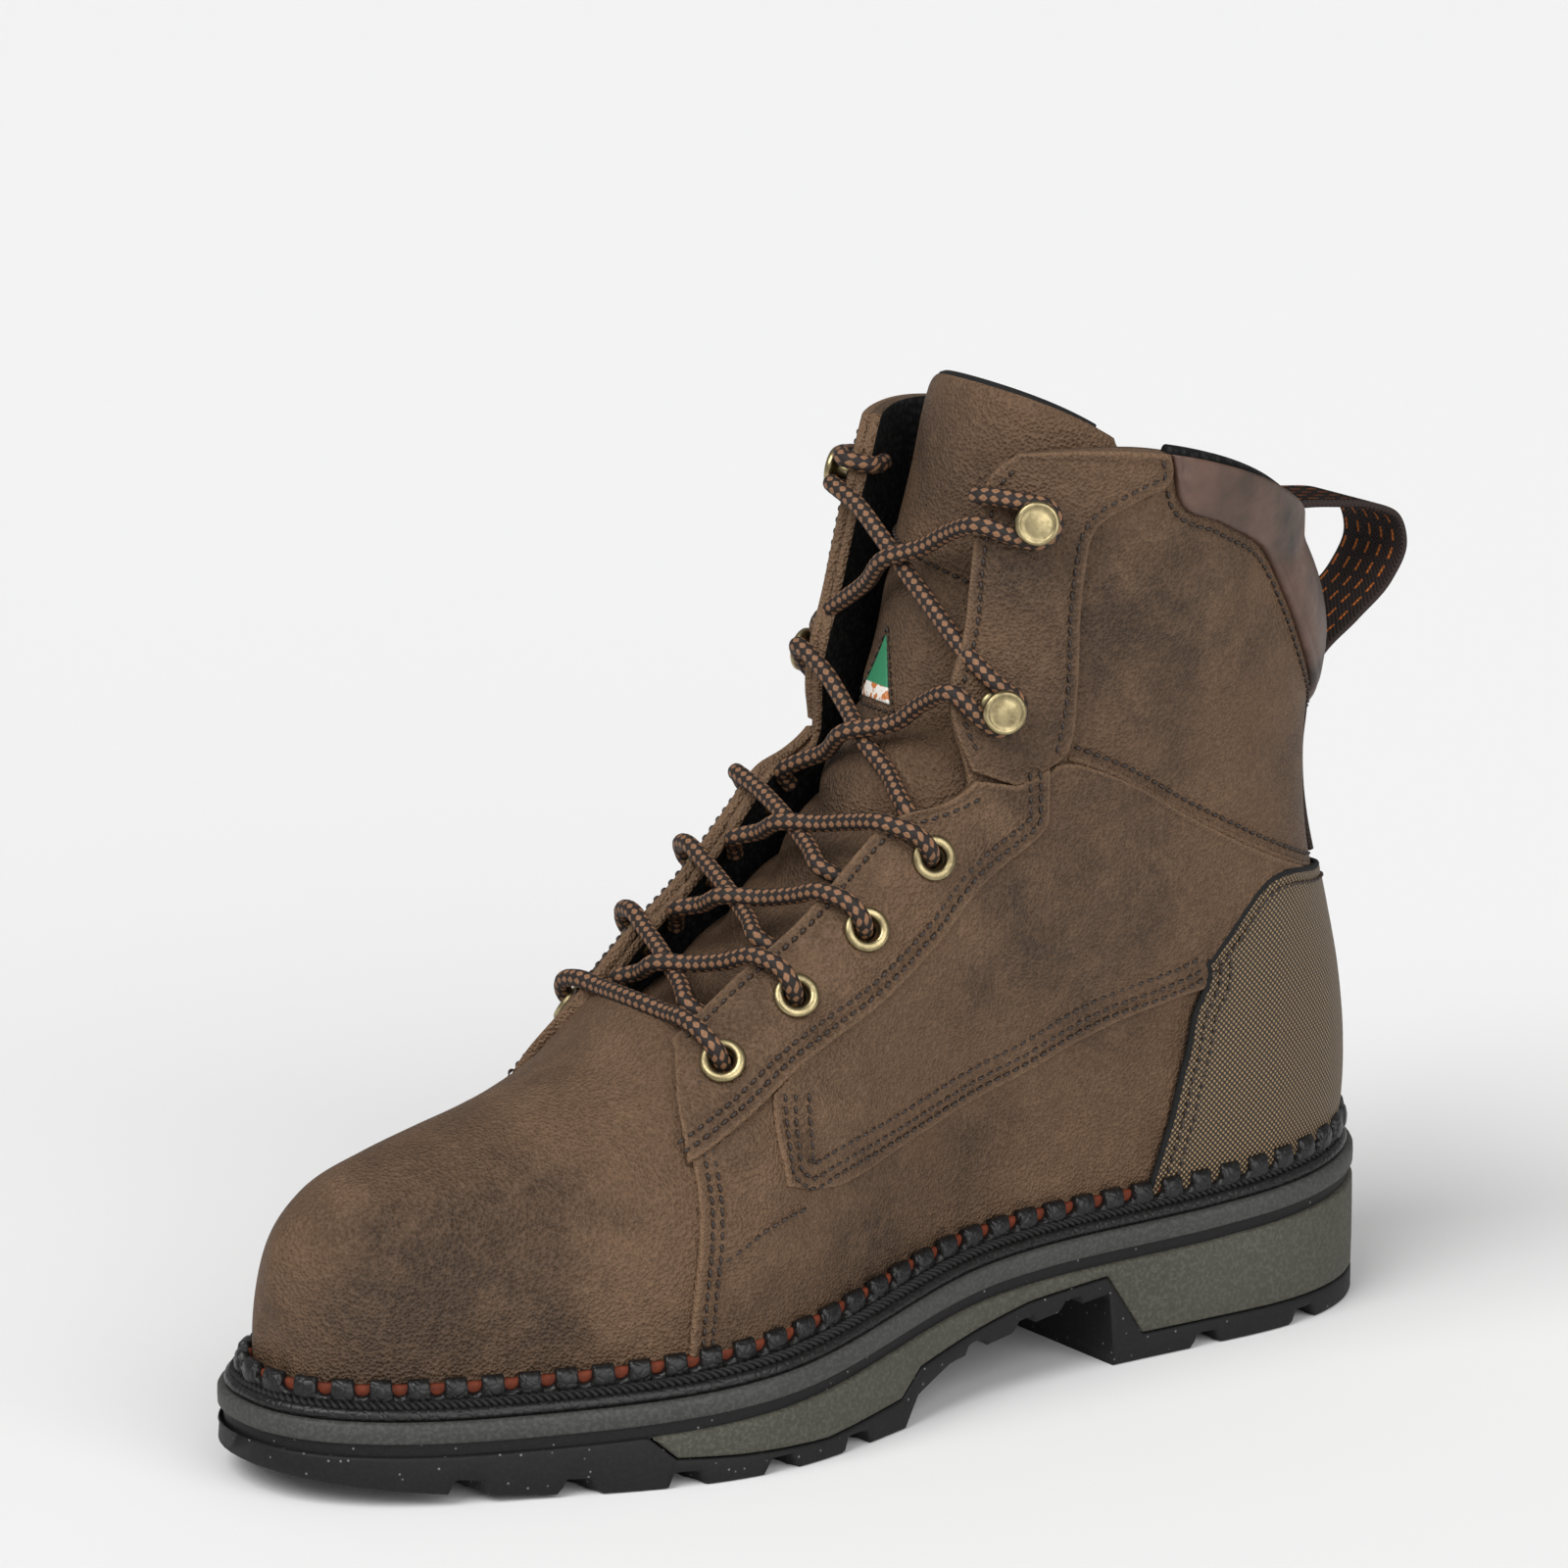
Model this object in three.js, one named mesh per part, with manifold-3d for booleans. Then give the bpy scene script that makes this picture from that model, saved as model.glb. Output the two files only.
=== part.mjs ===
// Safety toe work boot for the left foot, in millimetres, +X toward the toe, +Y toward the
// outer side of the foot, +Z up. Each sub-part is one closed solid with its own name.
// All shapes are first worked out with x = 0 at the back of the sole, y = 0 on the heel's
// centre line and z = 0 on the floor; the last lines move the whole boot so that the origin
// is under the middle of its box.

import * as THREE from 'three';
import { mergeVertices } from 'three/addons/utils/BufferGeometryUtils.js';
import Module from 'manifold-3d';

const wasm = await Module();
wasm.setup();

// Driving sizes
const LENGTH = 312;            // outsole, heel to toe
const BALL_WIDTH = 111;        // outsole at the ball of the foot
const HEEL_HEIGHT = 38.6;      // floor to the top of the grey midsole at the heel
const TOE_SPRING = 7.7;        // lift of the tread at the tip of the toe
const TOE_SWING = 6;           // how far the tip of the toe lies to the inner side
const COLLAR_FRONT = 220;      // height of the upper's front corners
const COLLAR_BACK = 190;       // height of the collar at the back seam
const COLLAR_RISE = 16;        // how far the collar's side stands above a straight line
const SHAFT_WIDTH = 88;        // outside width of the shaft at the collar
const THROAT_WIDTH = 52;       // gap between the two lace edges at the top
const LEDGE = 10;              // step of the welt outside the upper
const WALL = 2.6;              // leather and lining of the upper
const COLLAR_PADDING = 3.2;    // extra wall at the padded collar
const OVERLAP = 1.5;           // step where the quarters lie over the vamp
const PANEL = 1.3;             // thickness of a panel sewn on the outside
const CLEARANCE = 0.3;         // gap between pieces that meet
const PANEL_SEAT = 0.4;        // gap between a sewn panel and the wall under it

// Sole build-up, from the top of the grey midsole down and up
const BAND = 5;                // grey midsole band
const GROOVE = 3;              // black band under it
const GROOVE_INSET = 1.2;
const INSERT_DEPTH = 4;        // how deep the grey-green side insert sits in the outsole
const WELT = 3;                // welt with the sole's stitching
const WELT_INSET = 1.5;
const WELT_OPENING = 20;       // distance from the sole's edge to the hole in the welt
const RAND_HEIGHT = 6;         // black strip standing on the welt around the upper
const RAND_THICKNESS = 2.4;
const INSOLE_THICKNESS = 4;
const LUG_DEPTH = 4.5;
const LUG_GROOVE = 6;
const WAIST_GROOVE_DEPTH = 2.6;

// Lacing hardware
const EYELET_INSET = 12.5;     // eyelet centre to the lace edge, along the leather
const EYELET_RADIUS = 5.6;
const EYELET_HOLE = 2.9;
const EYELET_THICKNESS = 1.5;
const HOOK_RADIUS = 5.2;
const HOOK_HEIGHT = 8.2;
const HOOK_POST = 2.4;
const HOOK_BASE = 0.8;
const LACE_RADIUS = 2.1;

// Tongue and pull loop
const TONGUE_THICKNESS = 4.5;
const TONGUE_TOP = 238;
const LOOP_WIDTH = 22;
const LOOP_THICKNESS = 1.6;

// Fineness of the faceted surfaces
const FAN_ROWS = 32;           // lines of the fan along the upper
const CREST_COLUMNS = 3;       // columns between the crest and the lace edge
const SIDE_COLUMNS = 8;        // columns between the lace edge and the welt
const SOLE_STATIONS = 26;
const HARDWARE_SIDES = 8;
const LACE_STEPS = 8;

// Sole outline: share of LENGTH, half-widths of the outer and inner side as shares of BALL_WIDTH
const OUTLINE = [
  { at: 0.00, outer: 0.387, inner: 0.387 },
  { at: 0.15, outer: 0.387, inner: 0.387 },
  { at: 0.42, outer: 0.382, inner: 0.279 },
  { at: 0.66, outer: 0.514, inner: 0.486 },
  { at: 0.86, outer: 0.405, inner: 0.428 },
  { at: 1.00, outer: 0.387, inner: 0.405 },
];
const HEEL_ROUND = 0.17;       // length of the rounded heel, share of LENGTH
const TOE_ROUND = 0.31;        // length of the rounded toe, share of LENGTH
const HEEL_POWER = 2.3;
const TOE_POWER = 2.35;

// Top of the grey midsole: share of LENGTH, share of HEEL_HEIGHT
const SOLE_TOP = [
  { at: 0.00, height: 1.000 },
  { at: 0.20, height: 0.894 },
  { at: 0.42, height: 0.845 },
  { at: 0.66, height: 0.591 },
  { at: 0.85, height: 0.516 },
  { at: 1.00, height: 0.547 },
];

// Tread seen from the side: share of LENGTH, share of HEEL_HEIGHT
const TREAD = [
  { at: 0.000, height: 0 },
  { at: 0.306, height: 0 },
  { at: 0.311, height: 0.470 },
  { at: 0.369, height: 0.415 },
  { at: 0.413, height: 0.355 },
  { at: 0.471, height: 0.300 },
  { at: 0.510, height: 0.180 },
  { at: 0.523, height: 0 },
  { at: 0.740, height: 0 },
];

// Lower edge of the grey-green insert, in the same shares
const INSERT_EDGE = [
  { at: 0.000, height: 0.165 },
  { at: 0.276, height: 0.168 },
  { at: 0.310, height: 0.585 },
  { at: 0.386, height: 0.540 },
  { at: 0.450, height: 0.440 },
  { at: 0.505, height: 0.350 },
  { at: 0.527, height: 0.195 },
  { at: 0.610, height: 0.125 },
  { at: 0.690, height: 0.150 },
  { at: 0.738, height: 0.178 },
  { at: 0.757, height: 0.320 },
];

// Step of the welt: share of LENGTH, share of LEDGE
const LEDGE_ROWS = [
  { at: 0.00, step: 0.65 },
  { at: 0.15, step: 0.70 },
  { at: 0.42, step: 0.90 },
  { at: 0.66, step: 0.95 },
  { at: 1.00, step: 1.00 },
];
const NOSE_STEP = 0.75;        // the upper's tip behind the sole's tip, share of LEDGE
const BACK_STEP = 0.45;        // the upper's back in front of the sole's back, share of LEDGE

// The fan: each row is a line across the side view, from a crest point (x share of LENGTH,
// z share of COLLAR_FRONT) to a point of the foot path. The foot path runs 0 to 1 along the
// welt from the toe to the heel, and 1 to 2 up the back seam. reach is the share of the line
// over which the body rounds out to its full width, and power is how square it rounds.
const FAN = [
  { x: 0.9760, z: 0.1636, foot: 0.000, reach: 0.72, power: 2.10 },
  { x: 0.9756, z: 0.2227, foot: 0.075, reach: 0.72, power: 2.10 },
  { x: 0.9625, z: 0.2727, foot: 0.130, reach: 0.72, power: 2.10 },
  { x: 0.9279, z: 0.3127, foot: 0.175, reach: 0.72, power: 2.10 },
  { x: 0.8718, z: 0.3386, foot: 0.230, reach: 0.72, power: 2.05 },
  { x: 0.8237, z: 0.3555, foot: 0.277, reach: 0.72, power: 2.00 },
  { x: 0.7788, z: 0.3691, foot: 0.320, reach: 0.70, power: 2.00 },
  { x: 0.7372, z: 0.3855, foot: 0.358, reach: 0.66, power: 2.00 },
  { x: 0.7019, z: 0.4091, foot: 0.392, reach: 0.62, power: 2.00 },
  { x: 0.6683, z: 0.4500, foot: 0.427, reach: 0.54, power: 2.00 },
  { x: 0.6234, z: 0.5136, foot: 0.475, reach: 0.45, power: 2.00 },
  { x: 0.5673, z: 0.5750, foot: 0.540, reach: 0.36, power: 2.00 },
  { x: 0.5256, z: 0.6455, foot: 0.625, reach: 0.35, power: 2.00 },
  { x: 0.5016, z: 0.7273, foot: 0.760, reach: 0.40, power: 2.00 },
  { x: 0.4776, z: 0.8182, foot: 1.120, reach: 0.42, power: 2.00 },
  { x: 0.4423, z: 0.9182, foot: 1.600, reach: 0.48, power: 2.00 },
  { x: 0.4167, z: 1.0000, foot: 2.000, reach: 0.50, power: 2.00 },
];

// Back seam: z share of COLLAR_BACK, x share of LENGTH, and how far the back rounds out
const BACK = [
  { z: 0.200, x: 0.0167, round: 0.160 },
  { z: 0.263, x: 0.0103, round: 0.158 },
  { z: 0.342, x: 0.0096, round: 0.156 },
  { z: 0.421, x: 0.0160, round: 0.154 },
  { z: 0.526, x: 0.0321, round: 0.150 },
  { z: 0.616, x: 0.0471, round: 0.147 },
  { z: 0.711, x: 0.0545, round: 0.147 },
  { z: 0.784, x: 0.0545, round: 0.148 },
  { z: 0.842, x: 0.0494, round: 0.151 },
  { z: 0.895, x: 0.0474, round: 0.156 },
  { z: 0.947, x: 0.0529, round: 0.168 },
  { z: 1.010, x: 0.0705, round: 0.178 },
];

// Shaft: z share of COLLAR_FRONT, half-widths as shares of SHAFT_WIDTH
const SHAFT = [
  { z: 0.182, outer: 0.415, inner: 0.415 },
  { z: 0.318, outer: 0.420, inner: 0.432 },
  { z: 0.455, outer: 0.426, inner: 0.438 },
  { z: 0.591, outer: 0.438, inner: 0.449 },
  { z: 0.727, outer: 0.460, inner: 0.466 },
  { z: 0.864, outer: 0.489, inner: 0.489 },
  { z: 1.091, outer: 0.500, inner: 0.500 },
];

// Seam where the quarters lie over the vamp: share along the fan at each share of the line
const VAMP_SEAM = [
  { line: 0.000, fan: 0.462 },
  { line: 0.210, fan: 0.460 },
  { line: 0.345, fan: 0.429 },
  { line: 0.535, fan: 0.403 },
  { line: 0.828, fan: 0.369 },
  { line: 1.000, fan: 0.357 },
];

// Lace edge: share along the fan, half gap as a share of THROAT_WIDTH
const LACE_EDGE = [
  { fan: 0.450, gap: 0.355 },
  { fan: 0.473, gap: 0.371 },
  { fan: 0.556, gap: 0.419 },
  { fan: 0.633, gap: 0.452 },
  { fan: 0.715, gap: 0.488 },
  { fan: 0.746, gap: 0.535 },
  { fan: 0.777, gap: 0.600 },
  { fan: 0.792, gap: 0.605 },
  { fan: 0.805, gap: 0.575 },
  { fan: 0.824, gap: 0.530 },
  { fan: 0.889, gap: 0.508 },
  { fan: 0.970, gap: 0.480 },
  { fan: 0.989, gap: 0.490 },
  { fan: 1.000, gap: 0.560 },
];

// Rear edge of the eyelet panel and of the hook panel, and the panels' ends along the fan
const EYESTAY_BORDER = [
  { fan: 0.404, line: 0.485 },
  { fan: 0.503, line: 0.460 },
  { fan: 0.625, line: 0.435 },
  { fan: 0.691, line: 0.400 },
  { fan: 0.763, line: 0.355 },
  { fan: 0.825, line: 0.318 },
];
const EYESTAY_START = 0.452;
const EYESTAY_END = 0.794;
const HOOKSTAY_BORDER = [
  { fan: 0.797, line: 0.262 },
  { fan: 0.834, line: 0.323 },
  { fan: 0.850, line: 0.343 },
  { fan: 0.890, line: 0.350 },
  { fan: 0.956, line: 0.343 },
  { fan: 0.965, line: 0.352 },
  { fan: 0.980, line: 0.410 },
  { fan: 0.989, line: 0.445 },
  { fan: 1.000, line: 0.448 },
];
const HOOKSTAY_START = 0.799;

// Front edge of the heel counter and lower edge of the collar panel
const COUNTER_BORDER = [
  { fan: 0.715, line: 1.000 },
  { fan: 0.744, line: 0.825 },
  { fan: 0.766, line: 0.700 },
  { fan: 0.785, line: 0.605 },
  { fan: 0.818, line: 0.550 },
  { fan: 0.865, line: 0.633 },
  { fan: 0.888, line: 0.780 },
  { fan: 0.898, line: 1.000 },
];
const COLLAR_BORDER = [
  { fan: 0.992, line: 0.456 },
  { fan: 0.980, line: 0.460 },
  { fan: 0.976, line: 0.535 },
  { fan: 0.973, line: 0.630 },
  { fan: 0.964, line: 0.680 },
  { fan: 0.956, line: 0.730 },
  { fan: 0.948, line: 0.840 },
  { fan: 0.944, line: 1.000 },
];

// Eyelets and hooks, as shares along the fan
const EYELETS = [0.480, 0.565, 0.646, 0.728];
const HOOKS = [0.851, 0.959];

// Tongue: crest line (x share of LENGTH, z share of TONGUE_TOP), half-width as a share of
// THROAT_WIDTH, and how far its sides fall back, as a share of its half-width
const TONGUE = [
  { x: 0.681, z: 0.347, half: 0.50, fall: 0.24 },
  { x: 0.636, z: 0.388, half: 0.57, fall: 0.30 },
  { x: 0.577, z: 0.443, half: 0.61, fall: 0.40 },
  { x: 0.520, z: 0.507, half: 0.63, fall: 0.52 },
  { x: 0.467, z: 0.588, half: 0.62, fall: 0.66 },
  { x: 0.424, z: 0.698, half: 0.62, fall: 0.84 },
  { x: 0.396, z: 0.840, half: 0.64, fall: 1.02 },
  { x: 0.373, z: 0.950, half: 0.64, fall: 1.15 },
  { x: 0.360, z: 1.000, half: 0.57, fall: 1.20 },
];
const TONGUE_SWEEP = 1.25;     // half angle of the tongue's rounded section, in radians

// Loop of webbing: x share of LENGTH, z share of COLLAR_BACK, from the back seam over the collar
const LOOP = [
  { x: 0.0430, z: 0.800 },
  { x: 0.026, z: 0.835 },
  { x: -0.008, z: 0.874 },
  { x: -0.042, z: 0.918 },
  { x: -0.056, z: 0.960 },
  { x: -0.050, z: 0.996 },
  { x: -0.024, z: 1.018 },
  { x: 0.012, z: 1.028 },
  { x: 0.052, z: 1.034 },
  { x: 0.084, z: 1.030 },
  { x: 0.104, z: 1.000 },
  { x: 0.108, z: 0.940 },
];
const TAPE_BOTTOM = 0.575;     // lower end of the tape on the back seam, share of COLLAR_BACK

// Materials
function finish(color, roughness, metalness = 0) {
  return new THREE.MeshStandardMaterial({ color, roughness, metalness });
}
const NUBUCK = finish(0x5f4b3a, 0.8);
const SMOOTH_LEATHER = finish(0x4b3a35, 0.55);
const NYLON = finish(0x4d4433, 0.85);
const BLACK_RUBBER = finish(0x232323, 0.7);
const GREY_RUBBER = finish(0x5f5f5d, 0.75);
const GREEN_RUBBER = finish(0x585a52, 0.8);
const BLACK_LEATHER = finish(0x1d1c1b, 0.6);
const FOAM = finish(0x2b2b2b, 0.95);
const BRASS = finish(0xaaa06e, 0.4, 1);
const WEBBING = finish(0x2c2220, 0.9);
const LACE = finish(0x49362a, 0.85);

// Curves and small helpers

// Smooth curve through the rows of a table: cubic pieces, each row's slope is the weighted
// mean of the slopes on its two sides.
function curve(rows, key, value, x) {
  const n = rows.length;
  const xs = rows.map((row) => row[key]);
  const ys = rows.map((row) => row[value]);
  const at = Math.min(Math.max(x, xs[0]), xs[n - 1]);
  const step = (i) => xs[i + 1] - xs[i];
  const slope = (i) => (ys[i + 1] - ys[i]) / step(i);
  const inner = (i) => (slope(i - 1) * step(i) + slope(i) * step(i - 1)) / (step(i) + step(i - 1));
  const tangent = (i) => {
    if (i === 0) return (3 * slope(0) - inner(1)) / 2;
    if (i === n - 1) return (3 * slope(n - 2) - inner(n - 2)) / 2;
    return inner(i);
  };
  let k = 0;
  while (k < n - 2 && at >= xs[k + 1]) k += 1;
  const h = step(k);
  const t = (at - xs[k]) / h;
  return (1 + 2 * t) * (1 - t) ** 2 * ys[k] + t * (1 - t) ** 2 * h * tangent(k)
    + t * t * (3 - 2 * t) * ys[k + 1] + t * t * (t - 1) * h * tangent(k + 1);
}

// Straight lines through the rows of a table
function straight(rows, key, value, x) {
  const n = rows.length;
  const at = Math.min(Math.max(x, rows[0][key]), rows[n - 1][key]);
  let k = 0;
  while (k < n - 2 && at > rows[k + 1][key]) k += 1;
  const t = (at - rows[k][key]) / (rows[k + 1][key] - rows[k][key]);
  return rows[k][value] + (rows[k + 1][value] - rows[k][value]) * t;
}

function clamp(x) {
  return Math.min(Math.max(x, 0), 1);
}

function ease(from, to, x) {
  const t = clamp((x - from) / (to - from));
  return t * t * (3 - 2 * t);
}

// Quarter of a superellipse: 0 at the start, 1 at the end
function roundOut(u, power) {
  return Math.max(1 - (1 - clamp(u)) ** power, 0) ** (1 / power);
}

function range(count, make) {
  return Array.from({ length: count }, (_, i) => make(i));
}

// Sole surfaces

function centreLine(x) {
  return -TOE_SWING * clamp((x / LENGTH - 0.6) / 0.4) ** 1.6;
}

function sideKey(side) {
  return side > 0 ? 'outer' : 'inner';
}

// Signed y of the sole's edge moved inward by an inset
function soleEdge(x, side, inset) {
  const half = BALL_WIDTH * curve(OUTLINE, 'at', sideKey(side), x / LENGTH) - inset;
  const heel = roundOut((x - inset) / (HEEL_ROUND * LENGTH - inset), HEEL_POWER);
  const toe = roundOut((LENGTH - inset - x) / (TOE_ROUND * LENGTH - inset), TOE_POWER);
  return centreLine(x) + side * half * heel * toe;
}

function soleTop(x) {
  return HEEL_HEIGHT * curve(SOLE_TOP, 'at', 'height', x / LENGTH);
}

function spring(x) {
  return TOE_SPRING * clamp((x / LENGTH - 0.74) / 0.26) ** 2;
}

function tread(x) {
  return HEEL_HEIGHT * straight(TREAD, 'at', 'height', x / LENGTH) + spring(x);
}

function insertEdge(x) {
  return HEEL_HEIGHT * straight(INSERT_EDGE, 'at', 'height', x / LENGTH);
}

// Body of the upper

const NOSE = LENGTH - NOSE_STEP * LEDGE;
const BACK_FOOT = BACK_STEP * LEDGE;

function welt(x) {
  return soleTop(x) + WELT;
}

function backSeam(z) {
  return LENGTH * curve(BACK, 'z', 'x', z / COLLAR_BACK);
}

// Share along the fan of each row of the table, by the length of the crest
const fanSpans = FAN.map((row, i) => {
  const last = FAN[Math.max(i - 1, 0)];
  return Math.hypot((row.x - last.x) * LENGTH, (row.z - last.z) * COLLAR_FRONT);
});
const fanLength = fanSpans.reduce((sum, span) => sum + span, 0);
const FAN_ROWS_AT = FAN.map((row, i) => ({
  ...row,
  at: fanSpans.slice(0, i + 1).reduce((sum, span) => sum + span, 0) / fanLength,
}));

function fan(key, s) {
  return curve(FAN_ROWS_AT, 'at', key, s);
}

// Point of the foot path in the side view
function footPoint(g) {
  if (g <= 1) {
    const x = NOSE - (NOSE - BACK_FOOT) * (1 - Math.cos(Math.PI * clamp(g))) / 2;
    return [x, welt(x)];
  }
  const z = welt(BACK_FOOT) + (COLLAR_BACK - welt(BACK_FOOT)) * clamp(g - 1);
  return [backSeam(z), z];
}

// Half-width of the body at a place in the side view, before it rounds over the crest
function bodyWidth(x, z, side) {
  const key = sideKey(side);
  const foot = BALL_WIDTH * curve(OUTLINE, 'at', key, x / LENGTH)
    - LEDGE * curve(LEDGE_ROWS, 'at', 'step', x / LENGTH);
  const shaft = SHAFT_WIDTH * curve(SHAFT, 'z', key, z / COLLAR_FRONT);
  const full = foot + (shaft - foot) * ease(0.205 * COLLAR_FRONT, 0.568 * COLLAR_FRONT, z);
  const toe = roundOut((NOSE - x) / (TOE_ROUND * LENGTH - NOSE_STEP * LEDGE), TOE_POWER);
  const round = LENGTH * curve(BACK, 'z', 'round', z / COLLAR_BACK);
  return full * toe * roundOut((x - backSeam(z)) / round, 2.2);
}

// Point of the body's outside at a share s along the fan and a share v along its line
function body(s, v, side) {
  const g = fan('foot', s);
  const [footX, footZ] = footPoint(g);
  const even = ease(0.3, 1, g);
  const t = (1 - even) * (1 - Math.cos(Math.PI * v / 2)) + even * (1 - Math.cos(Math.PI * v)) / 2;
  const topX = LENGTH * fan('x', s);
  const topZ = COLLAR_FRONT * fan('z', s);
  const x = topX + (footX - topX) * t;
  const bow = COLLAR_RISE * (4 * t * (1 - t)) ** 0.8 * ease(1, 2, g) ** 1.5;
  const z = topZ + (footZ - topZ) * t + bow;
  const half = bodyWidth(x, z, side) * roundOut(t / fan('reach', s), fan('power', s));
  return new THREE.Vector3(x, centreLine(x) + side * half, z);
}

// Share of the line where a rising measure reaches a value
function solve(measure, value, from = 0, to = 0.9) {
  let low = from;
  let high = to;
  for (let i = 0; i < 30; i += 1) {
    const mid = (low + high) / 2;
    if (measure(mid) < value) low = mid;
    else high = mid;
  }
  return (low + high) / 2;
}

const edgeMemory = new Map();
function laceEdge(s) {
  if (!edgeMemory.has(s)) {
    const gap = THROAT_WIDTH * curve(LACE_EDGE, 'fan', 'gap', s);
    const y = (v) => {
      const p = body(s, v, 1);
      return p.y - centreLine(p.x);
    };
    edgeMemory.set(s, solve(y, gap));
  }
  return edgeMemory.get(s);
}

function vampSeam(v) {
  return curve(VAMP_SEAM, 'line', 'fan', v);
}

// Outward direction of the body
function bodyNormal(s, v, side) {
  const d = 0.002;
  const along = body(s + d, v, side).sub(body(s - d, v, side));
  const across = body(s, v + d, side).sub(body(s, v - d, side));
  return across.cross(along).multiplyScalar(side).normalize();
}

// Solids

function geometryOf(points, triangles) {
  const geometry = new THREE.BufferGeometry();
  const numbers = points.flatMap((p) => [p.x, p.y, p.z]);
  geometry.setAttribute('position', new THREE.BufferAttribute(new Float32Array(numbers), 3));
  geometry.setIndex(triangles.flat());
  const merged = mergeVertices(geometry, 1e-3);
  const index = merged.getIndex().array;
  const kept = [];
  for (let i = 0; i < index.length; i += 3) {
    const [a, b, c] = [index[i], index[i + 1], index[i + 2]];
    if (a !== b && b !== c && c !== a) kept.push(a, b, c);
  }
  merged.setIndex(kept);
  return merged;
}

function toManifold(geometry) {
  const bare = geometry.clone();
  bare.deleteAttribute('normal');
  bare.deleteAttribute('uv');
  const merged = mergeVertices(bare, 1e-4);
  return new wasm.Manifold(new wasm.Mesh({
    numProp: 3,
    vertProperties: new Float32Array(merged.getAttribute('position').array),
    triVerts: new Uint32Array(merged.getIndex().array),
  }));
}

// Geometry of the main body of a solid, without the empty slivers that rounding can leave
function fromManifold(manifold) {
  const bodies = manifold.decompose();
  const main = bodies.reduce((best, one) => (one.volume() > best.volume() ? one : best));
  const mesh = main.getMesh();
  const geometry = new THREE.BufferGeometry();
  geometry.setAttribute('position', new THREE.BufferAttribute(mesh.vertProperties, 3));
  geometry.setIndex(new THREE.BufferAttribute(mesh.triVerts, 1));
  return geometry;
}

// Closed wall between two offsets of an open surface given as points, normals and quads.
// low and high tell, for each point, how far inside and outside the surface the wall reaches.
function wall(points, normals, quads, low, high) {
  const n = points.length;
  const shifted = (offset) => points.map((p, i) => p.clone().addScaledVector(normals[i], offset(i)));
  const all = [...shifted(high), ...shifted(low)];
  const triangles = [];
  const edges = new Map();
  for (const quad of quads) {
    const [a, b, c, d] = quad;
    triangles.push([a, b, c], [a, c, d], [a + n, c + n, b + n], [a + n, d + n, c + n]);
    quad.forEach((from, k) => edges.set(`${from}_${quad[(k + 1) % 4]}`, [from, quad[(k + 1) % 4]]));
  }
  for (const [from, to] of edges.values()) {
    if (edges.has(`${to}_${from}`)) continue;
    triangles.push([from, from + n, to + n], [from, to + n, to]);
  }
  return geometryOf(all, triangles);
}

// Slab of the sole between two heights. Marks are the places where the heights break.
function slab({ inset, low, high, from = inset, to = LENGTH - inset, marks = [] }) {
  const even = range(SOLE_STATIONS + 1, (i) => from + (to - from) * (1 - Math.cos(Math.PI * i / SOLE_STATIONS)) / 2);
  const placed = marks.filter((x) => x > from + 0.5 && x < to - 0.5);
  const kept = even.filter((x, i) => i === 0 || i === SOLE_STATIONS || placed.every((m) => Math.abs(m - x) > 1));
  const xs = [...kept, ...placed].sort((a, b) => a - b);
  const points = xs.flatMap((x) => {
    const outer = soleEdge(x, 1, inset);
    const inner = soleEdge(x, -1, inset);
    return [
      new THREE.Vector3(x, outer, high(x)), new THREE.Vector3(x, inner, high(x)),
      new THREE.Vector3(x, outer, low(x)), new THREE.Vector3(x, inner, low(x)),
    ];
  });
  const triangles = [];
  const quad = (a, b, c, d) => triangles.push([a, b, c], [a, c, d]);
  for (let k = 0; k < xs.length - 1; k += 1) {
    const p = 4 * k;
    const q = p + 4;
    quad(p, p + 1, q + 1, q);
    quad(p + 2, q + 2, q + 3, p + 3);
    quad(p, q, q + 2, p + 2);
    quad(p + 1, p + 3, q + 3, q + 1);
  }
  const last = 4 * (xs.length - 1);
  quad(0, 2, 3, 1);
  quad(last, last + 1, last + 3, last + 2);
  const geometry = geometryOf(points, triangles);
  flipIfInside(geometry);
  return geometry;
}

// Turns a closed geometry right side out when its volume comes out negative
function flipIfInside(geometry) {
  const position = geometry.getAttribute('position');
  const index = geometry.getIndex();
  const corner = range(3, () => new THREE.Vector3());
  let volume = 0;
  for (let i = 0; i < index.count; i += 3) {
    corner.forEach((p, k) => p.fromBufferAttribute(position, index.getX(i + k)));
    volume += corner[0].dot(corner[1].clone().cross(corner[2])) / 6;
  }
  if (volume > 0) return;
  const flipped = [];
  for (let i = 0; i < index.count; i += 3) {
    flipped.push(index.getX(i), index.getX(i + 2), index.getX(i + 1));
  }
  geometry.setIndex(flipped);
}

// Prism along y over an outline in the side view
function sidePrism(outline, yFrom, yTo) {
  const shape = new THREE.Shape(outline.map((p) => new THREE.Vector2(p.x, p.z)));
  const geometry = new THREE.ExtrudeGeometry(shape, { depth: yTo - yFrom, bevelEnabled: false });
  geometry.rotateX(Math.PI / 2);
  geometry.translate(0, yTo, 0);
  return toManifold(geometry);
}

// Upright prism over an outline seen from above
function uprightPrism(outline, zFrom, zTo) {
  const shape = new THREE.Shape(outline.map(([x, y]) => new THREE.Vector2(x, y)));
  const geometry = new THREE.ExtrudeGeometry(shape, { depth: zTo - zFrom, bevelEnabled: false });
  geometry.translate(0, 0, zFrom);
  return toManifold(geometry);
}

const boot = new THREE.Group();

function add(name, geometry, material) {
  const mesh = new THREE.Mesh(geometry, material);
  mesh.name = name;
  boot.add(mesh);
}

// Outsole

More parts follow.
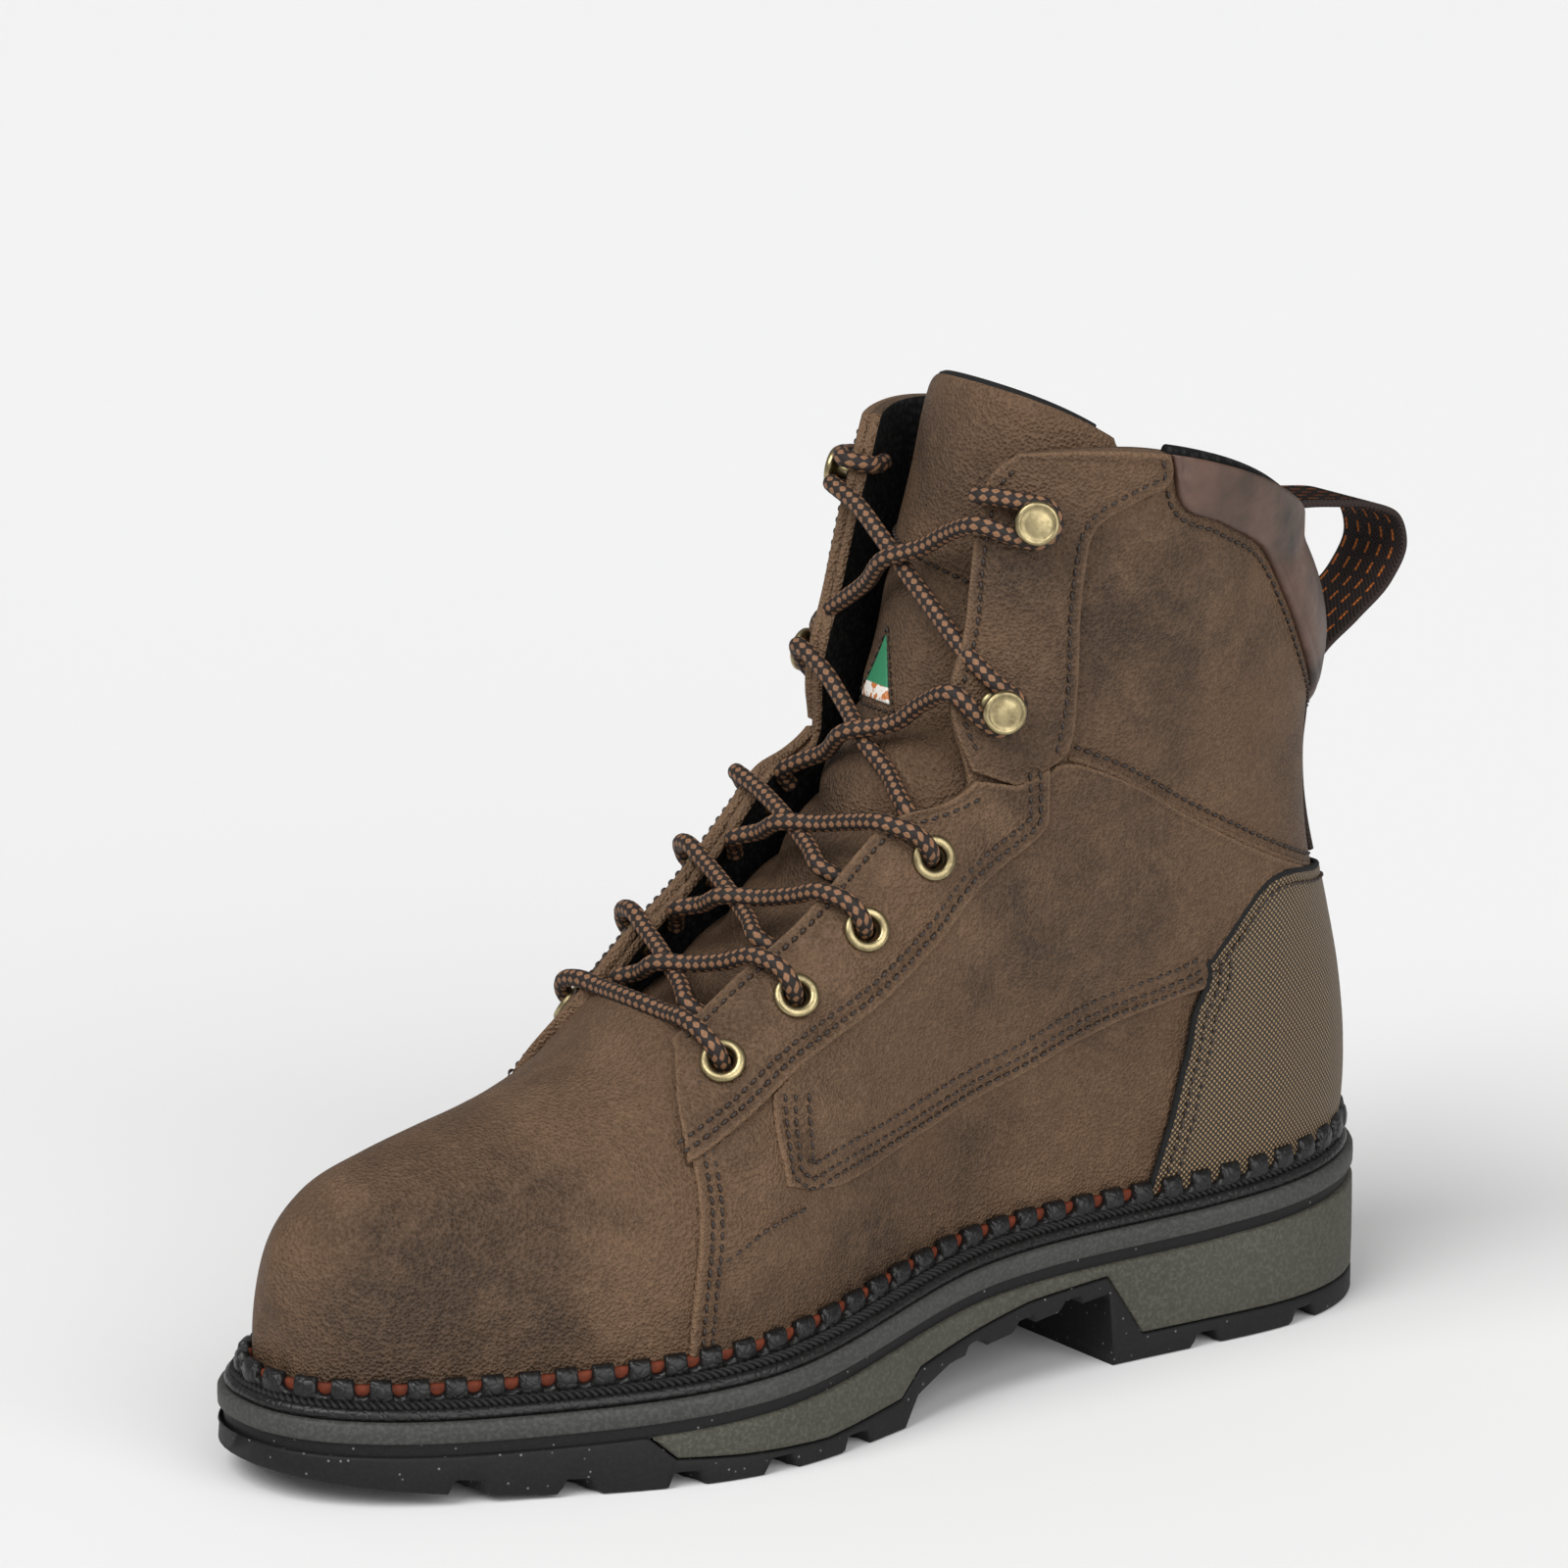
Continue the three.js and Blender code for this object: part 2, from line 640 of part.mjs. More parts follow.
const treadMarks = TREAD.map((row) => row.at * LENGTH);
const insertMarks = INSERT_EDGE.map((row) => row.at * LENGTH);
const INSERT_FRONT = insertMarks[insertMarks.length - 1];

function grooveTop(x) {
  return soleTop(x) - BAND - CLEARANCE;
}

function grooveBottom(x) {
  return soleTop(x) - BAND - GROOVE;
}

function rimTop(x) {
  return x <= INSERT_FRONT ? Math.min(insertEdge(x) - CLEARANCE, grooveBottom(x)) : grooveBottom(x);
}

function outsole() {
  const core = slab({ inset: INSERT_DEPTH + CLEARANCE, low: tread, high: grooveTop, marks: treadMarks });
  const lip = slab({ inset: GROOVE_INSET, low: grooveBottom, high: grooveTop, marks: [] });
  const marks = [...treadMarks, ...insertMarks, INSERT_FRONT + 0.2];
  const rim = slab({ inset: 0, low: tread, high: rimTop, marks });
  let solid = toManifold(core).add(toManifold(lip)).add(toManifold(rim));
  for (const cutter of treadGrooves()) solid = solid.subtract(cutter);
  return fromManifold(solid);
}

// Grooves that part the lugs: slanted bars from both edges, a channel along the middle of the
// forefoot and of the heel, and shallow bars across the waist
function treadGrooves() {
  const cutters = [];
  const bar = (x, depth, length, width, slant) => {
    for (const side of [1, -1]) {
      const edge = soleEdge(x, side, 0) + side * 6;
      const end = soleEdge(x, side, 0) - side * length;
      const outline = [
        [x - width / 2, edge], [x + width / 2, edge],
        [x + width / 2 + slant, end], [x - width / 2 + slant, end],
      ];
      cutters.push(uprightPrism(side > 0 ? outline.reverse() : outline, -1, tread(x) + depth));
    }
  };
  for (const at of [0.578, 0.654, 0.730, 0.806, 0.882]) {
    bar(at * LENGTH, LUG_DEPTH, 0.3 * BALL_WIDTH, LUG_GROOVE, LUG_GROOVE);
  }
  for (const at of [0.115, 0.215]) {
    bar(at * LENGTH, LUG_DEPTH, 0.2 * BALL_WIDTH, LUG_GROOVE, 0);
  }
  for (const at of [0.345, 0.391, 0.442]) {
    bar(at * LENGTH, WAIST_GROOVE_DEPTH, 0.25 * BALL_WIDTH, LUG_GROOVE, 0);
  }
  for (const [from, to] of [[0.55, 0.90], [0.06, 0.27]]) {
    const y = centreLine((from + to) / 2 * LENGTH);
    const half = LUG_GROOVE;
    cutters.push(uprightPrism([
      [from * LENGTH, y - half], [to * LENGTH, y - half], [to * LENGTH, y + half], [from * LENGTH, y + half],
    ], -1, LUG_DEPTH));
  }
  return cutters;
}

// Layers between the outsole and the upper

function sideInsert() {
  const high = (x) => grooveBottom(x) - CLEARANCE;
  const outer = slab({ inset: 0, low: insertEdge, high, to: INSERT_FRONT, marks: insertMarks });
  const inner = slab({
    inset: INSERT_DEPTH, low: () => -1, high: () => COLLAR_FRONT, marks: treadMarks,
  });
  return fromManifold(toManifold(outer).subtract(toManifold(inner)));
}

function midsoleBand() {
  return slab({ inset: 0, low: (x) => soleTop(x) - BAND, high: soleTop });
}

function weltRing() {
  const low = (x) => soleTop(x) + CLEARANCE;
  const high = (x) => welt(x) - CLEARANCE;
  const full = slab({ inset: WELT_INSET, low, high });
  const hole = slab({ inset: WELT_OPENING, low: () => 0, high: () => COLLAR_FRONT });
  return fromManifold(toManifold(full).subtract(toManifold(hole)));
}

function insole() {
  const inset = LEDGE + WALL + 3;
  return slab({ inset, low: welt, high: (x) => welt(x) + INSOLE_THICKNESS });
}

// Upper

const COLUMNS = CREST_COLUMNS + SIDE_COLUMNS;
const heelShare = solve((s) => fan('foot', s), 1, 0.5, 1);

// Rows along the fan: even steps over the vamp up to the seam, the raised edge of the
// quarters, then even steps to the heel's corner and from there to the collar
const seamFoot = vampSeam(1);
const heelStep = (heelShare - seamFoot) / (1 - seamFoot);
const vampRows = Math.round(FAN_ROWS * 0.42);
const quarterRows = Math.round(FAN_ROWS * 0.36);
const shaftRows = FAN_ROWS - vampRows - quarterRows;
const rowShares = [
  ...range(vampRows + 1, (i) => ({ before: (i / vampRows) ** 1.25 })),
  ...range(quarterRows + 1, (i) => ({ after: Math.max(heelStep * i / quarterRows, 0.001) })),
  ...range(shaftRows, (i) => ({ after: heelStep + (1 - heelStep) * (i + 1) / shaftRows })),
];
const seamRow = vampRows;
const heelRow = vampRows + 1 + quarterRows;

function rowShare(row, v) {
  const seam = vampSeam(v);
  if (row.before !== undefined) return seam * row.before;
  return seam + (1 - seam) * row.after;
}

// Share of the line at a column: the first columns reach from the crest to the lace edge
function columnShare(row, j) {
  const seam = vampSeam(0.22);
  const s = row.before !== undefined ? seam : Math.max(rowShare(row, 0.22), seam);
  const edge = laceEdge(s);
  if (j <= CREST_COLUMNS) return edge * j / CREST_COLUMNS;
  return edge + (1 - edge) * (j - CREST_COLUMNS) / SIDE_COLUMNS;
}

// Open surface of the body as points, normals, quads and, for each point, its two shares
function bodySurface() {
  const ids = new Map();
  const points = [];
  const shares = [];
  const id = (i, j, side) => {
    const row = rowShares[i];
    const onCrest = j === 0;
    const onBack = j === COLUMNS && i >= heelRow;
    const onNose = i === 0;
    const key = `${i}_${j}_${onCrest || onBack || onNose ? 0 : side}`;
    if (!ids.has(key)) {
      const v = columnShare(row, j);
      const s = rowShare(row, v);
      const p = body(s, v, side);
      if (onCrest || onBack || onNose) p.y = centreLine(p.x);
      ids.set(key, points.length);
      points.push(p);
      shares.push({ s, v, quarter: row.before === undefined });
    }
    return ids.get(key);
  };
  const quads = [];
  for (let i = 0; i < rowShares.length - 1; i += 1) {
    for (let j = 0; j < COLUMNS; j += 1) {
      if (i >= seamRow && j < CREST_COLUMNS) continue;
      for (const side of [1, -1]) {
        const quad = [id(i, j, side), id(i + 1, j, side), id(i + 1, j + 1, side), id(i, j + 1, side)];
        quads.push(side > 0 ? quad.reverse() : quad);
      }
    }
  }
  const normals = points.map(() => new THREE.Vector3());
  for (const [a, b, c, d] of quads) {
    const across = points[c].clone().sub(points[a]);
    const face = across.cross(points[d].clone().sub(points[b]));
    for (const corner of [a, b, c, d]) normals[corner].add(face);
  }
  normals.forEach((normal, i) => {
    // The foot of the wall keeps its level through the wall's thickness
    if (shares[i].v === 1 && fan('foot', shares[i].s) < 1.001) normal.z = 0;
    normal.normalize();
  });
  return { points, normals, quads, shares };
}

const surface = bodySurface();

function overlap(share) {
  if (!share.quarter) return 0;
  return OVERLAP * (1 - ease(0, 0.16, share.s - vampSeam(share.v)));
}

function padding(share) {
  return ease(0.94, 0.985, share.s) * ease(0.3, 0.5, share.v);
}

function offsetWall(low, high) {
  const { points, normals, quads, shares } = surface;
  const geometry = wall(points, normals, quads, (i) => low(shares[i]), (i) => high(shares[i]));
  flipIfInside(geometry);
  return geometry;
}

function skin(share) {
  return overlap(share) + 0.6 * padding(share);
}

function upper() {
  return offsetWall((share) => -WALL - COLLAR_PADDING * padding(share), skin);
}

// Sewn panels: cut from a thin wall just outside the upper

const panelWall = toManifold(offsetWall((share) => skin(share) + PANEL_SEAT, (share) => skin(share) + PANEL_SEAT + PANEL));

function outlinePoint(s, v) {
  return body(s, v, 1);
}

// Panel between the lace edge and a border, from one share along the fan to another
function lacePanel(border, start, end, side) {
  const steps = 14;
  const shares = range(steps + 1, (i) => start + (end - start) * i / steps);
  const front = shares.map((s) => outlinePoint(s, laceEdge(s) - 0.05));
  const back = shares.map((s) => outlinePoint(s, curve(border, 'fan', 'line', s)));
  const outline = [...front, ...back.reverse()];
  const prism = side > 0 ? sidePrism(outline, 0, 100) : sidePrism(outline, -100, 0);
  return panelWall.intersect(prism);
}

// Outline of a panel that runs on round the back: its border, then a wide margin outside
function backOutline(border, before, after) {
  return [...before, ...border.map((row) => outlinePoint(row.fan, row.line)), ...after];
}

function place(x, z) {
  return new THREE.Vector3(x, 0, z);
}

function heelCounter() {
  const low = welt(0) - 30;
  const start = outlinePoint(COUNTER_BORDER[0].fan, 1);
  const end = outlinePoint(COUNTER_BORDER[COUNTER_BORDER.length - 1].fan, 1);
  const outline = backOutline(COUNTER_BORDER, [place(start.x, low)], [place(-20, end.z), place(-20, low)]);
  const aboveRand = slab({
    inset: -LEDGE, low: (x) => welt(x) + RAND_HEIGHT + CLEARANCE, high: () => COLLAR_FRONT, to: LENGTH / 2,
  });
  return fromManifold(panelWall.intersect(sidePrism(outline, -100, 100)).intersect(toManifold(aboveRand)));
}

function collarPanel() {
  const high = COLLAR_FRONT + 30;
  const start = outlinePoint(COLLAR_BORDER[0].fan, COLLAR_BORDER[0].line);
  const end = outlinePoint(COLLAR_BORDER[COLLAR_BORDER.length - 1].fan, 1);
  const outline = backOutline(COLLAR_BORDER, [place(start.x + 2, high)], [place(-20, end.z), place(-20, high)]);
  return fromManifold(panelWall.intersect(sidePrism(outline, -100, 100)));
}

// Strip that stands on the welt round the whole upper
function rand() {
  const low = (share) => skin(share) + PANEL_SEAT;
  const strip = toManifold(offsetWall(low, (share) => low(share) + RAND_THICKNESS));
  const level = slab({
    inset: -LEDGE / 2, low: welt, high: (x) => welt(x) + RAND_HEIGHT,
  });
  return fromManifold(strip.intersect(toManifold(level)));
}

// Eyelets and hooks

// Place on the lace panel: its outer face and the direction straight out of it
function seat(s, side) {
  const edge = laceEdge(s);
  const start = body(s, edge, side);
  const v = solve((line) => body(s, line, side).distanceTo(start), EYELET_INSET, edge, edge + 0.5);
  const normal = bodyNormal(s, v, side);
  const rise = overlap({ s, v, quarter: true }) + PANEL_SEAT + PANEL;
  return { point: body(s, v, side).addScaledVector(normal, rise), normal };
}

function turned(profile, { point, normal }, lift, segments) {
  const geometry = new THREE.LatheGeometry(profile.map(([r, h]) => new THREE.Vector2(r, h)), segments);
  geometry.applyQuaternion(new THREE.Quaternion().setFromUnitVectors(new THREE.Vector3(0, 1, 0), normal));
  const base = point.clone().addScaledVector(normal, lift);
  geometry.translate(base.x, base.y, base.z);
  const closed = geometryOf(range(geometry.getAttribute('position').count, (i) => (
    new THREE.Vector3().fromBufferAttribute(geometry.getAttribute('position'), i))),
  range(geometry.getIndex().count / 3, (i) => range(3, (k) => geometry.getIndex().getX(3 * i + k))));
  flipIfInside(closed);
  return closed;
}

function eyelet(place) {
  const middle = (EYELET_RADIUS + EYELET_HOLE) / 2;
  return turned([
    [EYELET_HOLE, 0], [EYELET_RADIUS, 0], [middle + 0.8, EYELET_THICKNESS],
    [middle - 0.6, EYELET_THICKNESS], [EYELET_HOLE, 0],
  ], place, CLEARANCE, HARDWARE_SIDES);
}

function hook(place) {
  return turned([
    [0, 0], [HOOK_RADIUS - 0.6, 0], [HOOK_RADIUS - 0.6, HOOK_BASE], [HOOK_POST, HOOK_BASE], [HOOK_POST, HOOK_HEIGHT - 2],
    [HOOK_RADIUS, HOOK_HEIGHT - 2], [HOOK_RADIUS, HOOK_HEIGHT - 0.8], [HOOK_RADIUS - 1.4, HOOK_HEIGHT], [0, HOOK_HEIGHT],
  ], place, CLEARANCE, HARDWARE_SIDES);
}

// Round hole through the wall and the panel at an eyelet
function eyeletHole({ point, normal }) {
  const geometry = new THREE.CylinderGeometry(EYELET_HOLE, EYELET_HOLE, 24, 8);
  geometry.applyQuaternion(new THREE.Quaternion().setFromUnitVectors(new THREE.Vector3(0, 1, 0), normal));
  geometry.translate(point.x, point.y, point.z);
  return toManifold(geometry);
}

// Tongue

function tongueShare(key, u) {
  const rows = TONGUE.map((row, i) => ({ ...row, at: i / (TONGUE.length - 1) }));
  return curve(rows, 'at', key, u);
}

// Outside of the tongue: u runs from the vamp to the top, a across it as an angle share
function tonguePoint(u, a) {
  const half = THROAT_WIDTH * tongueShare('half', u);
  const angle = TONGUE_SWEEP * a;
  const y = half * Math.sin(angle) / Math.sin(TONGUE_SWEEP);
  const back = half * tongueShare('fall', u) * (1 - Math.cos(angle)) / (1 - Math.cos(TONGUE_SWEEP));
  const d = 0.01;
  const dx = LENGTH * (tongueShare('x', Math.min(u + d, 1)) - tongueShare('x', Math.max(u - d, 0)));
  const dz = TONGUE_TOP * (tongueShare('z', Math.min(u + d, 1)) - tongueShare('z', Math.max(u - d, 0)));
  const length = Math.hypot(dx, dz);
  const drop = 9 * a * a * ease(0.75, 1, u);
  const x = LENGTH * tongueShare('x', u) - back * dz / length;
  const z = TONGUE_TOP * tongueShare('z', u) + back * dx / length - drop;
  return new THREE.Vector3(x, centreLine(x) + y, z);
}

function gridNormals(points, quads) {
  const normals = points.map(() => new THREE.Vector3());
  for (const [a, b, c, d] of quads) {
    const across = points[c].clone().sub(points[a]);
    const face = across.cross(points[d].clone().sub(points[b]));
    for (const corner of [a, b, c, d]) normals[corner].add(face);
  }
  return normals.map((normal) => normal.normalize());
}

function tongue() {
  const rows = 13;
  const columns = 8;
  const points = [];
  for (let i = 0; i <= rows; i += 1) {
    for (let j = 0; j <= columns; j += 1) points.push(tonguePoint(i / rows, 2 * j / columns - 1));
  }
  const quads = [];
  for (let i = 0; i < rows; i += 1) {
    for (let j = 0; j < columns; j += 1) {
      const a = i * (columns + 1) + j;
      quads.push([a, a + 1, a + columns + 2, a + columns + 1]);
    }
  }
  const normals = gridNormals(points, quads);
  const outward = normals[Math.floor(normals.length / 2)].x > 0 ? 1 : -1;
  const geometry = wall(points, normals, quads, () => -outward * TONGUE_THICKNESS, () => 0);
  flipIfInside(geometry);
  return geometry;
}

// Pull loop with its tape on the back seam

function pullLoop() {
  const tape = range(5, (i) => {
    const z = COLLAR_BACK * (TAPE_BOTTOM + (LOOP[0].z - TAPE_BOTTOM - 0.03) * i / 4);
    const overCollar = (PANEL + CLEARANCE) * ease(0.70, 0.76, z / COLLAR_BACK);
    return new THREE.Vector2(backSeam(z) - PANEL_SEAT - LOOP_THICKNESS - overCollar, z);
  });
  const loop = LOOP.map((row) => new THREE.Vector2(row.x * LENGTH, row.z * COLLAR_BACK));
  const middle = new THREE.SplineCurve([...tape, ...loop]).getPoints(24);
  const sideways = middle.map((p, i) => {
    const next = middle[Math.min(i + 1, middle.length - 1)];
    const last = middle[Math.max(i - 1, 0)];
    const along = next.clone().sub(last).normalize();
    return new THREE.Vector2(-along.y, along.x);
  });
  const one = middle.map((p, i) => p.clone().addScaledVector(sideways[i], LOOP_THICKNESS / 2));
  const other = middle.map((p, i) => p.clone().addScaledVector(sideways[i], -LOOP_THICKNESS / 2));
  const shape = new THREE.Shape([...one, ...other.reverse()]);
  const geometry = new THREE.ExtrudeGeometry(shape, { depth: LOOP_WIDTH, bevelEnabled: false });
  geometry.rotateX(Math.PI / 2);
  geometry.translate(0, LOOP_WIDTH / 2, 0);
  return fromManifold(toManifold(geometry));
}

// Laces

function tube(points, steps) {
  const section = new THREE.Shape(range(6, (i) => new THREE.Vector2(
    LACE_RADIUS * Math.cos(Math.PI * i / 3), LACE_RADIUS * Math.sin(Math.PI * i / 3))));
  const path = new THREE.CatmullRomCurve3(points, false, 'centripetal');
  return toManifold(new THREE.ExtrudeGeometry(section, { steps, extrudePath: path, bevelEnabled: false }));
}

// Point over the lace panel, a distance in from the lace edge and a height above the panel
function overPanel(s, inward, height, side) {
  const edge = laceEdge(s);
  const start = body(s, edge, side);
  const v = solve((line) => body(s, line, side).distanceTo(start), inward, edge, edge + 0.5);
  const normal = bodyNormal(s, v, side);
  const rise = overlap({ s, v, quarter: true }) + PANEL_SEAT + PANEL + height;
  return body(s, v, side).addScaledVector(normal, rise);
}

// Points all over the front of the tongue, and the way a lace is lifted off it
const tongueFront = range(61, (i) => range(17, (j) => tonguePoint(i / 60, j / 8 - 1))).flat();
const OFF_TONGUE = new THREE.Vector3(1, 0, 0.6).normalize();
const OVER = LACE_RADIUS + CLEARANCE;

// Point between the two lace edges at share s, lifted until a lace there clears the tongue
function overTongue(s, across, lift) {
  const outer = body(s, laceEdge(s), 1);
  const inner = body(s, laceEdge(s), -1);
  const p = inner.lerp(outer, (across + 1) / 2);
  let rise = 0;
  for (const q of tongueFront) {
    const gap = q.clone().sub(p);
    const ahead = gap.dot(OFF_TONGUE);
    const beside = gap.addScaledVector(OFF_TONGUE, -ahead).length();
    if (beside < 2 * LACE_RADIUS) rise = Math.max(rise, ahead);
  }
  return p.addScaledVector(OFF_TONGUE, rise + OVER + lift);
}

// Last point of a lace over the panel: above an eyelet's rim, or beside a hook's post
function laceEnd(s, side) {
  if (EYELETS.includes(s)) {
    return overPanel(s, EYELET_INSET - EYELET_HOLE + 1.4, OVER + CLEARANCE + EYELET_THICKNESS + 0.3, side);
  }
  return overPanel(s, EYELET_INSET - HOOK_POST - 1.2, OVER + CLEARANCE + HOOK_BASE, side);
}

// Run from beside the lace edge on one side, over the tongue, to the next seat on the other
function run(from, to, side) {
  const at = (share) => from + (to - from) * share;
  return tube([
    overTongue(at(0.17), side * 0.82, 0),
    overTongue(at(0.35), side * 0.45, 0.4),
    overTongue(at(0.55), 0, 0.8),
    overTongue(at(0.75), -side * 0.50, 0.8),
    overPanel(at(0.92), 0.8, OVER + 1.4, -side),
    laceEnd(to, -side),
  ], LACE_STEPS);
}

// Bar that lies across the throat between the lowest eyelets
function laceBar() {
  const s = EYELETS[0];
  const edge = (side) => overPanel(s, 0.8, OVER + 1.4, side);
  const half = (side) => overTongue(s, 0.5 * side, 4.4);
  return tube([laceEnd(s, 1), edge(1), half(1), half(-1), edge(-1), laceEnd(s, -1)], LACE_STEPS);
}

// The build, from the floor up

add('outsole', outsole(), BLACK_RUBBER);
add('sidewall_insert', sideInsert(), GREEN_RUBBER);
add('midsole_band', midsoleBand(), GREY_RUBBER);
add('welt', weltRing(), BLACK_LEATHER);
add('rand', rand(), BLACK_LEATHER);
add('insole', insole(), FOAM);

const seats = {};
for (const side of [1, -1]) {
  seats[side] = { eyelets: EYELETS.map((s) => seat(s, side)), hooks: HOOKS.map((s) => seat(s, side)) };
}
const holes = [1, -1].flatMap((side) => seats[side].eyelets.map(eyeletHole));
add('upper', fromManifold(holes.reduce((solid, hole) => solid.subtract(hole), toManifold(upper()))), NUBUCK);
add('tongue', tongue(), NUBUCK);
for (const [side, word] of [[1, 'outer'], [-1, 'inner']]) {
  const eyestay = lacePanel(EYESTAY_BORDER, EYESTAY_START, EYESTAY_END, side);
  const cut = seats[side].eyelets.map(eyeletHole).reduce((solid, hole) => solid.subtract(hole), eyestay);
  add(`eyestay_${word}`, fromManifold(cut), NUBUCK);
  add(`hookstay_${word}`, fromManifold(lacePanel(HOOKSTAY_BORDER, HOOKSTAY_START, 1, side)), NUBUCK);
  seats[side].eyelets.forEach((place, i) => add(`eyelet_${word}_${i + 1}`, eyelet(place), BRASS));
  seats[side].hooks.forEach((place, i) => add(`hook_${word}_${i + 1}`, hook(place), BRASS));
}
add('heel_counter', heelCounter(), NYLON);
add('collar_panel', collarPanel(), SMOOTH_LEATHER);
add('pull_loop', pullLoop(), WEBBING);

// Laces: a bar over the lowest pair of eyelets, then five crossings up to the top hooks
const stops = [...EYELETS, ...HOOKS];
add('lace_bar', fromManifold(laceBar()), LACE);
range(stops.length - 1, (i) => {
  const crossing = run(stops[i], stops[i + 1], 1).add(run(stops[i], stops[i + 1], -1));
  add(`lace_crossing_${i + 1}`, fromManifold(crossing), LACE);
});

// Origin under the middle of the boot's box, on the floor
const box = new THREE.Box3().setFromObject(boot);
const middle = box.getCenter(new THREE.Vector3());
boot.position.set(-middle.x, -middle.y, -box.min.z);

export default boot;
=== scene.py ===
"""Looks of a safety toe work boot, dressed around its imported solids.

Lengths inside the shape functions are millimetres with x = 0 at the back of the sole, y = 0 on the
heel's centre line and z = 0 on the floor. to_frame turns them into the frame's metres.
"""

import math

import bmesh
import bpy
import numpy as np
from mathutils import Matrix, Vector


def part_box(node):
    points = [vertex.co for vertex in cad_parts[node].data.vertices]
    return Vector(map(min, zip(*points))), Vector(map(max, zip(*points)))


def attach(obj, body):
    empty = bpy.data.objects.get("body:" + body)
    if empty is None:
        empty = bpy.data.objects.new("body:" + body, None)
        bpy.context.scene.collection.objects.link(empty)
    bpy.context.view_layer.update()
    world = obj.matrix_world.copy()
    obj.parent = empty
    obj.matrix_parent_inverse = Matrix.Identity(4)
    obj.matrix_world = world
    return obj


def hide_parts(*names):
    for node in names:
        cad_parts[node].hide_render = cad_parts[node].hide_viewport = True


bl_info = {
    "name": "Safety Toe Work Boot",
    "version": (1, 0, 0),
    "blender": (4, 5, 0),
    "location": "View3D > Sidebar > Boot",
    "description": "Builds the leather, sole, lacing and stage of a laced work boot",
    "category": "Object",
}

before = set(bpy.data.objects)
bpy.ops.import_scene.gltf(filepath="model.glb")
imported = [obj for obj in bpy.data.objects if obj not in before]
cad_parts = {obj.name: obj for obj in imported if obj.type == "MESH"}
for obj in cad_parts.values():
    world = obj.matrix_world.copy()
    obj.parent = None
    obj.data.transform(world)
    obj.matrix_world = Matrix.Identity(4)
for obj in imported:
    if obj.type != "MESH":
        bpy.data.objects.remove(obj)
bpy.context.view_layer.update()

MM = 0.001
LENGTH = 312.0
BALL_WIDTH = 111.0
HEEL_HEIGHT = 38.6
TOE_SPRING = 7.7
TOE_SWING = 6.0
COLLAR_FRONT = 220.0
COLLAR_BACK = 190.0
COLLAR_RISE = 16.0
SHAFT_WIDTH = 88.0
THROAT_WIDTH = 52.0
LEDGE = 10.0
WELT = 3.0
BAND = 5.0
GROOVE = 3.0
HEEL_ROUND = 0.17
TOE_ROUND = 0.31
HEEL_POWER = 2.3
TOE_POWER = 2.35
BACK_POWER = 2.2
NOSE = LENGTH - 0.75 * LEDGE
BACK_FOOT = 0.45 * LEDGE
EYELET_INSET = 12.5

# Sole outline: share of LENGTH, outer and inner half-widths as shares of BALL_WIDTH
OUTLINE = np.array([
    (0.00, 0.387, 0.387), (0.15, 0.387, 0.387), (0.42, 0.382, 0.279),
    (0.66, 0.514, 0.486), (0.86, 0.405, 0.428), (1.00, 0.387, 0.405),
])
# Top of the grey midsole: share of LENGTH, share of HEEL_HEIGHT
SOLE_TOP = np.array([
    (0.00, 1.000), (0.20, 0.894), (0.42, 0.845), (0.66, 0.591), (0.85, 0.516), (1.00, 0.547),
])
# Tread in the side view: share of LENGTH, share of HEEL_HEIGHT
TREAD = np.array([
    (0.000, 0.000), (0.304, 0.000), (0.309, 0.470), (0.369, 0.415), (0.413, 0.355),
    (0.471, 0.300), (0.508, 0.180), (0.523, 0.000), (0.740, 0.000),
])
# Lower edge of the grey-green side insert, in the same shares
INSERT_EDGE = np.array([
    (0.000, 0.165), (0.276, 0.168), (0.310, 0.585), (0.386, 0.540), (0.450, 0.440), (0.505, 0.350),
    (0.527, 0.195), (0.610, 0.125), (0.690, 0.150), (0.738, 0.178), (0.757, 0.320),
])
# Step of the welt: share of LENGTH, share of LEDGE
LEDGE_ROWS = np.array([(0.00, 0.65), (0.15, 0.70), (0.42, 0.90), (0.66, 0.95), (1.00, 1.00)])
# The fan of lines that span the upper: crest x, crest z, foot path share, reach, power
FAN = np.array([
    (0.9760, 0.1636, 0.000, 0.72, 2.10), (0.9756, 0.2227, 0.075, 0.72, 2.10),
    (0.9625, 0.2727, 0.130, 0.72, 2.10), (0.9279, 0.3127, 0.175, 0.72, 2.10),
    (0.8718, 0.3386, 0.230, 0.72, 2.05), (0.8237, 0.3555, 0.277, 0.72, 2.00),
    (0.7788, 0.3691, 0.320, 0.70, 2.00), (0.7372, 0.3855, 0.358, 0.66, 2.00),
    (0.7019, 0.4091, 0.392, 0.62, 2.00), (0.6683, 0.4500, 0.427, 0.54, 2.00),
    (0.6234, 0.5136, 0.475, 0.45, 2.00), (0.5673, 0.5750, 0.540, 0.36, 2.00),
    (0.5256, 0.6455, 0.625, 0.35, 2.00), (0.5016, 0.7273, 0.760, 0.40, 2.00),
    (0.4776, 0.8182, 1.120, 0.42, 2.00), (0.4423, 0.9182, 1.600, 0.48, 2.00),
    (0.4167, 1.0000, 2.000, 0.50, 2.00),
])
